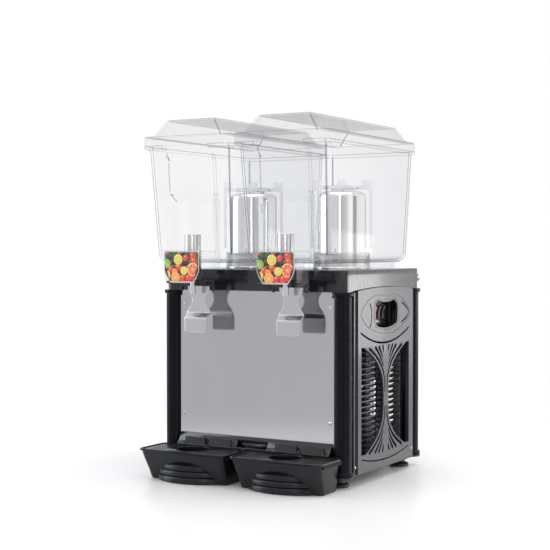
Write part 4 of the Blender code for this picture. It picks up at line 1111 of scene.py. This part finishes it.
def tap(side):
    x = middle(f"valve_sleeve_{side}").x
    node = f"tap_cover_{side}"
    (cx0, cy0, _), (cx1, cy1, cz1) = BOX[node]
    half = (cx1 - cx0) / 2
    front = label_outline(x, half, 0.0300, 0.3765, 0.4030, cz1, 0.006)
    shell = plate(f"{node}_shell", "Y", cy0, cy0 + 0.002, [front], CLEAR, edge=0.0005, steps=2)
    cheek = fillet([(-0.2070, 0.4200), (-0.2070, 0.3960), (-0.2045, 0.3760), (-0.1980, 0.3705), (-0.1860, 0.3680),
                    (-0.1700, 0.3645), (cy1, 0.3640), (cy1, 0.4400), (-0.2070, 0.4400), (-0.2070, 0.4200)],
                   0.004, 4)[:-1]
    for k, sign in enumerate((-1, 1)):
        a, b = sorted((x + sign * half, x + sign * (half - 0.002)))
        join(shell, plate(f"{node}_cheek_{k}", "X", a, b, [cheek], CLEAR, edge=0.0004, steps=1))
    stands_for(shell, node)

    node = f"label_plate_{side}"
    (px0, py0, pz0), (px1, py1, pz1) = BOX[node]
    half = (px1 - px0) / 2
    back = plate(f"{node}_back", "Y", py0 + 0.0006, py1,
                 [label_outline(x, half, 0.0275, pz0, 0.4040, pz1, 0.005)], LABEL_GREY, edge=0.0003)
    border = plate(f"{node}_border", "Y", py0, py0 + 0.0009,
                   [label_outline(x, half, 0.0275, pz0, 0.4040, pz1, 0.005),
                    label_outline(x, half - 0.0012, 0.0270, pz0 + 0.0030, 0.4040, pz1 - 0.0022, 0.004)],
                   LABEL_GREY, edge=0.0002)
    stands_for(together(f"{node}_frame", [back, border]), node)
    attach(fruit_picture(side, x, py0 + 0.0004), BODY[node])

    line = f"valve_sleeve_{side}"
    z0, z1 = heights(line)
    radius, bore = 0.01575, 0.0118
    sleeve = [(0, z1), (radius, z1), (radius, z0), (bore, z0), (bore, z1 - 0.0025), (0, z1 - 0.0025)]
    turned_for(line, "tube", sleeve, TURNED, radius=0.0012)
    z0, z1 = heights(f"valve_plunger_{side}")
    plunger = [
        (0, z1), (0.0040, z1), (0.0040, 0.4400), (0.0114, 0.4400), (0.0114, 0.4000), (0.00575, 0.3985),
        (0.00575, 0.3865), (0.0102, 0.3865), (0.0102, 0.3825), (0.00575, 0.3825), (0.00575, z0),
        (0.0038, z0), (0.0038, 0.4260), (0, 0.4260),
    ]
    turned_for(f"valve_plunger_{side}", "spout", plunger, CHROME, line, steps=48, radius=0.0006)
    refined(f"lever_yoke_{side}", SOFT_BLACK, 0.0007, 3)
    lever(side, x)
    valve_spring(side)


def valve_spring(side):
    """A coil of round wire."""
    node = f"valve_spring_{side}"
    z0, z1 = heights(node)
    centre, thick, radius, turns, count = middle(node), 0.0006, 0.0085, 4, 24
    coil = []
    for k in range(turns * count + 1):
        angle = 2 * math.pi * k / count
        z = z0 + thick + (z1 - z0 - 2 * thick) * k / (turns * count)
        coil.append((centre.x + radius * math.cos(angle), centre.y + radius * math.sin(angle), z))
    piece = stands_for(tube(f"{node}_coil", coil, thick, GALVANISED, 10), node)
    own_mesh(piece)


def lever(side, x):
    """The push lever: a steel blade with a joggle, drawn in at its neck."""
    path = fillet([(-0.15095, 0.3900), (-0.15095, 0.3202), (-0.16225, 0.3102), (-0.16225, 0.2790)], 0.0028, 6)
    dense = []
    for (y0, z0), (y1, z1) in zip(path, path[1:]):
        count = max(1, int(math.hypot(y1 - y0, z1 - z0) / 0.0016))
        dense += [(y0 + (y1 - y0) * k / count, z0 + (z1 - z0) * k / count) for k in range(count)]
    dense.append(path[-1])
    widths = smooth_line([
        (0.3900, 0.0250), (0.3690, 0.0250), (0.3610, 0.0225), (0.3540, 0.0180), (0.3470, 0.0157), (0.3400, 0.0160),
        (0.3320, 0.0195), (0.3260, 0.0245), (0.3210, 0.0270), (0.3150, 0.0270), (0.3120, 0.0256),
        (0.3050, 0.0252), (0.2790, 0.0252),
    ], 5)

    def half_at(z):
        for (za, wa), (zb, wb) in zip(widths, widths[1:]):
            if zb <= z <= za:
                return wa + (wb - wa) * (za - z) / max(za - zb, 1e-9)
        return 0.0252

    low, high = heights(f"push_lever_{side}")
    dense = [(y, z) for y, z in dense if low <= z <= high - 0.0004]
    rings = []
    thick = 0.0015
    for i, (y, z) in enumerate(dense):
        along = heading(dense[max(i - 1, 0)], dense[min(i + 1, len(dense) - 1)])
        out = Vector((-along.y, along.x)) * thick / 2
        half = half_at(z)
        corner = min(1.0, (z - dense[-1][1]) / 0.003)
        half -= 0.003 * (1 - math.sqrt(max(0.0, 1 - (1 - corner) ** 2)))
        span = [-half + 2 * half * k / 12 for k in range(13)]
        front = [(x + u, y + out.x, z + out.y) for u in span]
        back = [(x + u, y - out.x, z - out.y) for u in span[::-1]]
        rings.append(front + back)
    blade = stack(f"push_lever_{side}_blade", rings, SATIN)
    soften(blade, 0.0004, 2, 50)
    stands_for(blade, f"push_lever_{side}")


# ---------------------------------------------------------------- drip trays
def drip_tray(side):
    node = f"drip_tray_{side}"
    (bx0, front, base), (bx1, rear, rim) = BOX[node]
    x = (bx0 + bx1) / 2
    half = (bx1 - bx0) / 2

    def ring(z, h, y, radius, back=rear):
        return rounded(z, x - h, x + h, y, back, radius)

    outer = [ring(base, 0.0855, -0.1902, 0.010), ring(base + 0.0006, 0.0862, -0.1912, 0.0105),
             ring(0.0030, 0.0875, -0.1930, 0.011), ring(0.0200, 0.0893, -0.2004, 0.0115),
             ring(0.0400, 0.0918, -0.2105, 0.012), ring(0.0560, 0.0940, -0.2172, 0.012),
             ring(0.0568, half - 0.0008, front + 0.0008, 0.0122), ring(0.0576, half, front, 0.0125),
             ring(rim - 0.0012, half, front, 0.0125), ring(rim - 0.0003, half - 0.0004, front + 0.0004, 0.0122),
             ring(rim, half - 0.0012, front + 0.0012, 0.0118)]
    thick = rear - 0.0025
    inner = [ring(rim, half - 0.0028, front + 0.0028, 0.0105, thick),
             ring(rim - 0.0008, half - 0.0036, front + 0.0036, 0.0100, thick),
             ring(0.0545, 0.0924, -0.2150, 0.0100, thick),
             ring(0.0400, 0.0905, -0.2075, 0.0100, thick), ring(0.0200, 0.0870, -0.1965, 0.0095, thick),
             ring(0.0050, 0.0850, -0.1895, 0.0090, thick), ring(0.0030, 0.0830, -0.1870, 0.0080, thick)]
    tray = stack(f"{node}_tray", outer + inner, TRAY_BLACK)
    for k, (z0, z1, radius, tip) in enumerate((
            (0.0004, 0.0140, 0.1019, -0.2192), (0.0135, 0.0250, 0.1049, -0.2178),
            (0.0245, 0.0360, 0.0899, -0.2165))):
        angle = math.degrees(math.asin(min(0.95, math.sqrt(2 * radius * (-tip - 0.188)) / radius)))
        rings = []
        for z, inset in ((z0, 0.0006), (z0 + 0.0006, 0), (z1 - 0.0052, 0), (z1 - 0.0040, 0.0005),
                         (z1 - 0.0008, 0.0040), (z1, 0.0056)):
            curve = arc((x, tip + radius), radius - inset, 270 - angle, 270 + angle, 40)
            rings.append([(a, b, z) for a, b in curve])
        join(tray, stack(f"{node}_tier_{k}", rings, TRAY_BLACK))
    combs = []
    for sign in (-1, 1):
        edge = x + sign * (half - 0.0003)
        for k in range(22):
            y = front + 0.0170 + 0.0032 * k
            a, b = sorted((edge, edge - sign * 0.0030))
            combs.append((a, b, y, y + 0.0016, 0.0500, 0.0572))
    ribs = boxes(f"{node}_ribs", combs, TRAY_BLACK)
    ledges = boxes(f"{node}_ledges", [
        (*sorted((x + sign * 0.0890, x + sign * 0.0928)), -0.2060, rear - 0.001, 0.0500, 0.0545)
        for sign in (-1, 1)
    ], TRAY_BLACK)
    shade(tray)
    stands_for(together(f"{node}_moulding", [tray, ribs, ledges]), node)
    drip_grid(side, x)


def drip_grid(side, x):
    node = f"drip_grid_{side}"
    (gx0, gy0, _), (gx1, gy1, _) = BOX[node]
    hole = 0.0313
    y = middle(f"valve_sleeve_{side}").y
    outline = rounded_flat(gx0, gx1, gy0, gy1, 0.0105)
    holes = [arc((x, y), hole + 0.0010, 0, 355, 71)]
    for sign in (-1, 1):
        for k in range(6):
            z = -0.2010 + 0.012 * k
            centre = x + sign * 0.064
            slot = [(centre - 0.0145, z + 0.00175), (centre + 0.0145, z + 0.00175)]
            holes.append(ribbon(slot, 0.0035, cap=6))
    sheet = plate(f"{node}_sheet", "Z", 0.0548, 0.0590, [outline] + holes, TRAY_BLACK, edge=0.0007, steps=3)
    collar = [(hole + 0.0035, 0.0605), (hole + 0.0035, 0.0480), (hole, 0.0480), (hole, 0.0605)]
    ring = turned(f"{node}_collar", collar, (x, y, 0), TRAY_BLACK, radius=0.0012, ring=True, steps=96)
    stands_for(join(sheet, ring), node)


# ---------------------------------------------------------------- rest of the cabinet
def fittings():
    refined("base_pan", PAINTED)
    centre = middle("rear_knob")
    low, high = BOX["rear_knob"][0].y, BOX["rear_knob"][1].y
    knob = turned("knob_cap", [
        (0, high), (0.0074, high), (0.0085, high - 0.0010), (0.0085, high - 0.0050), (0.0050, high - 0.0060),
        (0.0050, high - 0.0087), (0.0030, high - 0.0087), (0.0030, low), (0, low),
    ], (centre.x, 0, centre.z), TURNED, "Y", radius=0.0006)
    for k in range(12):
        angle = 2 * math.pi * k / 12
        flute = turned(f"flute_{k}", [(0, high + 0.002), (0.0009, high + 0.002), (0.0009, high - 0.0045),
                                      (0, high - 0.0045)],
                       (centre.x + 0.0090 * math.cos(angle), 0, centre.z + 0.0090 * math.sin(angle)), TURNED,
                       "Y", steps=12)
        cut(knob, flute)
    stands_for(knob, "rear_knob")
    centre = middle("cord_gland")
    gland = turned("gland_body", [
        (0.0072, 0.2200), (0.0090, 0.2188), (0.0112, 0.2160), (0.0115, 0.2120), (0.0115, 0.2078), (0.0080, 0.2078),
        (0.0080, 0.1985), (0.0040, 0.1985), (0.0040, 0.2200),
    ], (centre.x, 0, centre.z), SOFT_BLACK, "Y", radius=0.0006, ring=True)
    stands_for(gland, "cord_gland")


# ---------------------------------------------------------------- stage, light and camera
def stage():
    tone = (0.86, 0.85, 0.835)
    skin, tree = material("pale_floor", tone)
    matt = wire(tree, tree.nodes["Principled BSDF"], {
        "Base Color": rgba(tone), "Roughness": 0.35, "Specular IOR Level": 0.35,
    })
    where = add(tree, "TexCoord", {}).outputs["Object"]
    length = add(tree, "VectorMath", {0: where}, operation="LENGTH").outputs["Value"]
    fade = add(tree, "MapRange", {"Value": length, "From Min": 0.28, "From Max": 1.15},
               interpolation_type="SMOOTHERSTEP")
    mixed(tree, "Material Output", fade.outputs["Result"], matt, add(tree, "BsdfTransparent", {}))
    bm = bmesh.new()
    bmesh.ops.create_circle(bm, cap_ends=True, segments=96, radius=2.8)
    ground = made("floor", bm, skin)
    if ground.data.polygons[0].normal.z < 0:
        ground.data.flip_normals()
    ground.location.z = -0.0002


def world():
    """A plain white studio, whose reflections see soft panels and dark flags standing round the sides."""
    sky = bpy.data.worlds.new("studio")
    bpy.context.scene.world = sky
    sky.use_nodes = True
    tree = sky.node_tree
    shown = wire(tree, tree.nodes["Background"], {"Color": (1, 1, 1, 1)})
    where = add(tree, "TexCoord", {}).outputs["Generated"]
    parts = add(tree, "SeparateXYZ", {"Vector": where})
    turn = maths(tree, "ARCTAN2", parts.outputs["X"], maths(tree, "MULTIPLY", parts.outputs["Y"], -1.0))
    ramp = add(tree, "ValToRGB", {"Fac": maths(tree, "MULTIPLY_ADD", turn, 0.5 / math.pi, 0.5)})
    ramp.color_ramp.interpolation = "EASE"
    # Degrees round from the front towards the right, and brightness.
    stops = ((-180, 0.50), (-122, 0.50), (-110, 0.07), (-94, 0.07), (-85, 0.52), (-60, 0.44), (-30, 0.34),
             (0, 0.36), (18, 0.26), (34, 0.26), (48, 0.34), (64, 0.56), (76, 0.56), (84, 0.14), (94, 0.14),
             (106, 0.50), (158, 0.56), (176, 0.50))
    while len(ramp.color_ramp.elements) < len(stops):
        ramp.color_ramp.elements.new(0.5)
    # Every place first, because a stop that moves past another changes the order.
    for stop, (degrees, value) in zip(ramp.color_ramp.elements, stops):
        stop.position = degrees / 360 + 0.5
    for stop, (degrees, value) in zip(ramp.color_ramp.elements, stops):
        cool = 0.06 if -140 < degrees < -50 else 0.0
        stop.color = (value * (1 - cool), value, value * (1 + cool + 0.02), 1)
    steep = maths(tree, "MULTIPLY", maths(tree, "ABSOLUTE", parts.outputs["Z"]), 1.6)
    level = maths(tree, "SMOOTH_MIN", steep, 1.0, 0.1)
    lighting = add(tree, "Background", {
        "Color": blend(tree, level, ramp.outputs["Color"], (0.44, 0.44, 0.45, 1)),
        "Strength": maths(tree, "MULTIPLY_ADD", parts.outputs["Z"], 0.45, 1.95),
    })
    path = add(tree, "LightPath", {})
    seen = maths(tree, "MAXIMUM", path.outputs["Is Camera Ray"], path.outputs["Is Transmission Ray"])
    bounced = maths(tree, "MAXIMUM", path.outputs["Glossy Depth"], path.outputs["Diffuse Depth"])
    direct = maths(tree, "MULTIPLY", seen, maths(tree, "LESS_THAN", bounced, 0.5))
    mixed(tree, "World Output", direct, lighting, shown)


def softbox(name, place, target, size, power, colour=(1, 1, 1)):
    light = bpy.data.lights.new(name, "AREA")
    light.shape = "RECTANGLE"
    light.size, light.size_y = size
    light.energy = power
    light.color = colour
    lamp = placed(name, light)
    lamp.location = place
    lamp.rotation_euler = (Vector(target) - Vector(place)).to_track_quat("-Z", "Y").to_euler()
    lamp.visible_camera = False
    lamp.visible_transmission = False
    return lamp


def lights():
    softbox("low_right", (2.2, 1.6, 0.20), (0, 0, 0.25), (2.6, 0.40), 13.5)
    softbox("rear_right", (2.2, 1.6, 1.0), (0, 0, 0.25), (2.2, 2.2), 34).visible_glossy = False
    softbox("top", (0.2, -0.2, 2.4), (0, 0, 0.3), (2.0, 2.0), 16)
    softbox("left", (-2.2, -0.9, 0.9), (0, 0, 0.35), (1.1, 1.8), 17, (0.86, 0.94, 1.0))
    softbox("front_right", (1.0, -2.8, 1.2), (0, 0, 0.35), (0.25, 1.8), 6)


def camera():
    """30 degrees round to the right, about level, with a long lens."""
    lens = bpy.data.cameras.new("camera")
    lens.lens = 83.45
    lens.sensor_width = 36
    view = placed("camera", lens)
    view.location = (1.2516, -2.2004, 0.4470)
    view.rotation_euler = Vector((-0.50018, 0.86564, -0.02214)).to_track_quat("-Z", "Y").to_euler()
    bpy.context.scene.camera = view
    bpy.context.scene.view_settings.view_transform = "Standard"
    light_paths = bpy.context.scene.cycles
    light_paths.max_bounces = light_paths.transmission_bounces = light_paths.transparent_max_bounces = 28


def on_each_side(*makers):
    for make in makers:
        for side in SIDES:
            make(side)


camera()
stage()
world()
lights()
posts()
feet()
front_panel()
rear_panel()
crown()
refined("splash_deck", GLOSS_BLACK, 0.0008, 3)
on_each_side(side_panel)
switches()
compressor()
condenser()
fan()
on_each_side(cold_column, agitator, tank_vessel, lid_moulding, tap, drip_tray)
fittings()
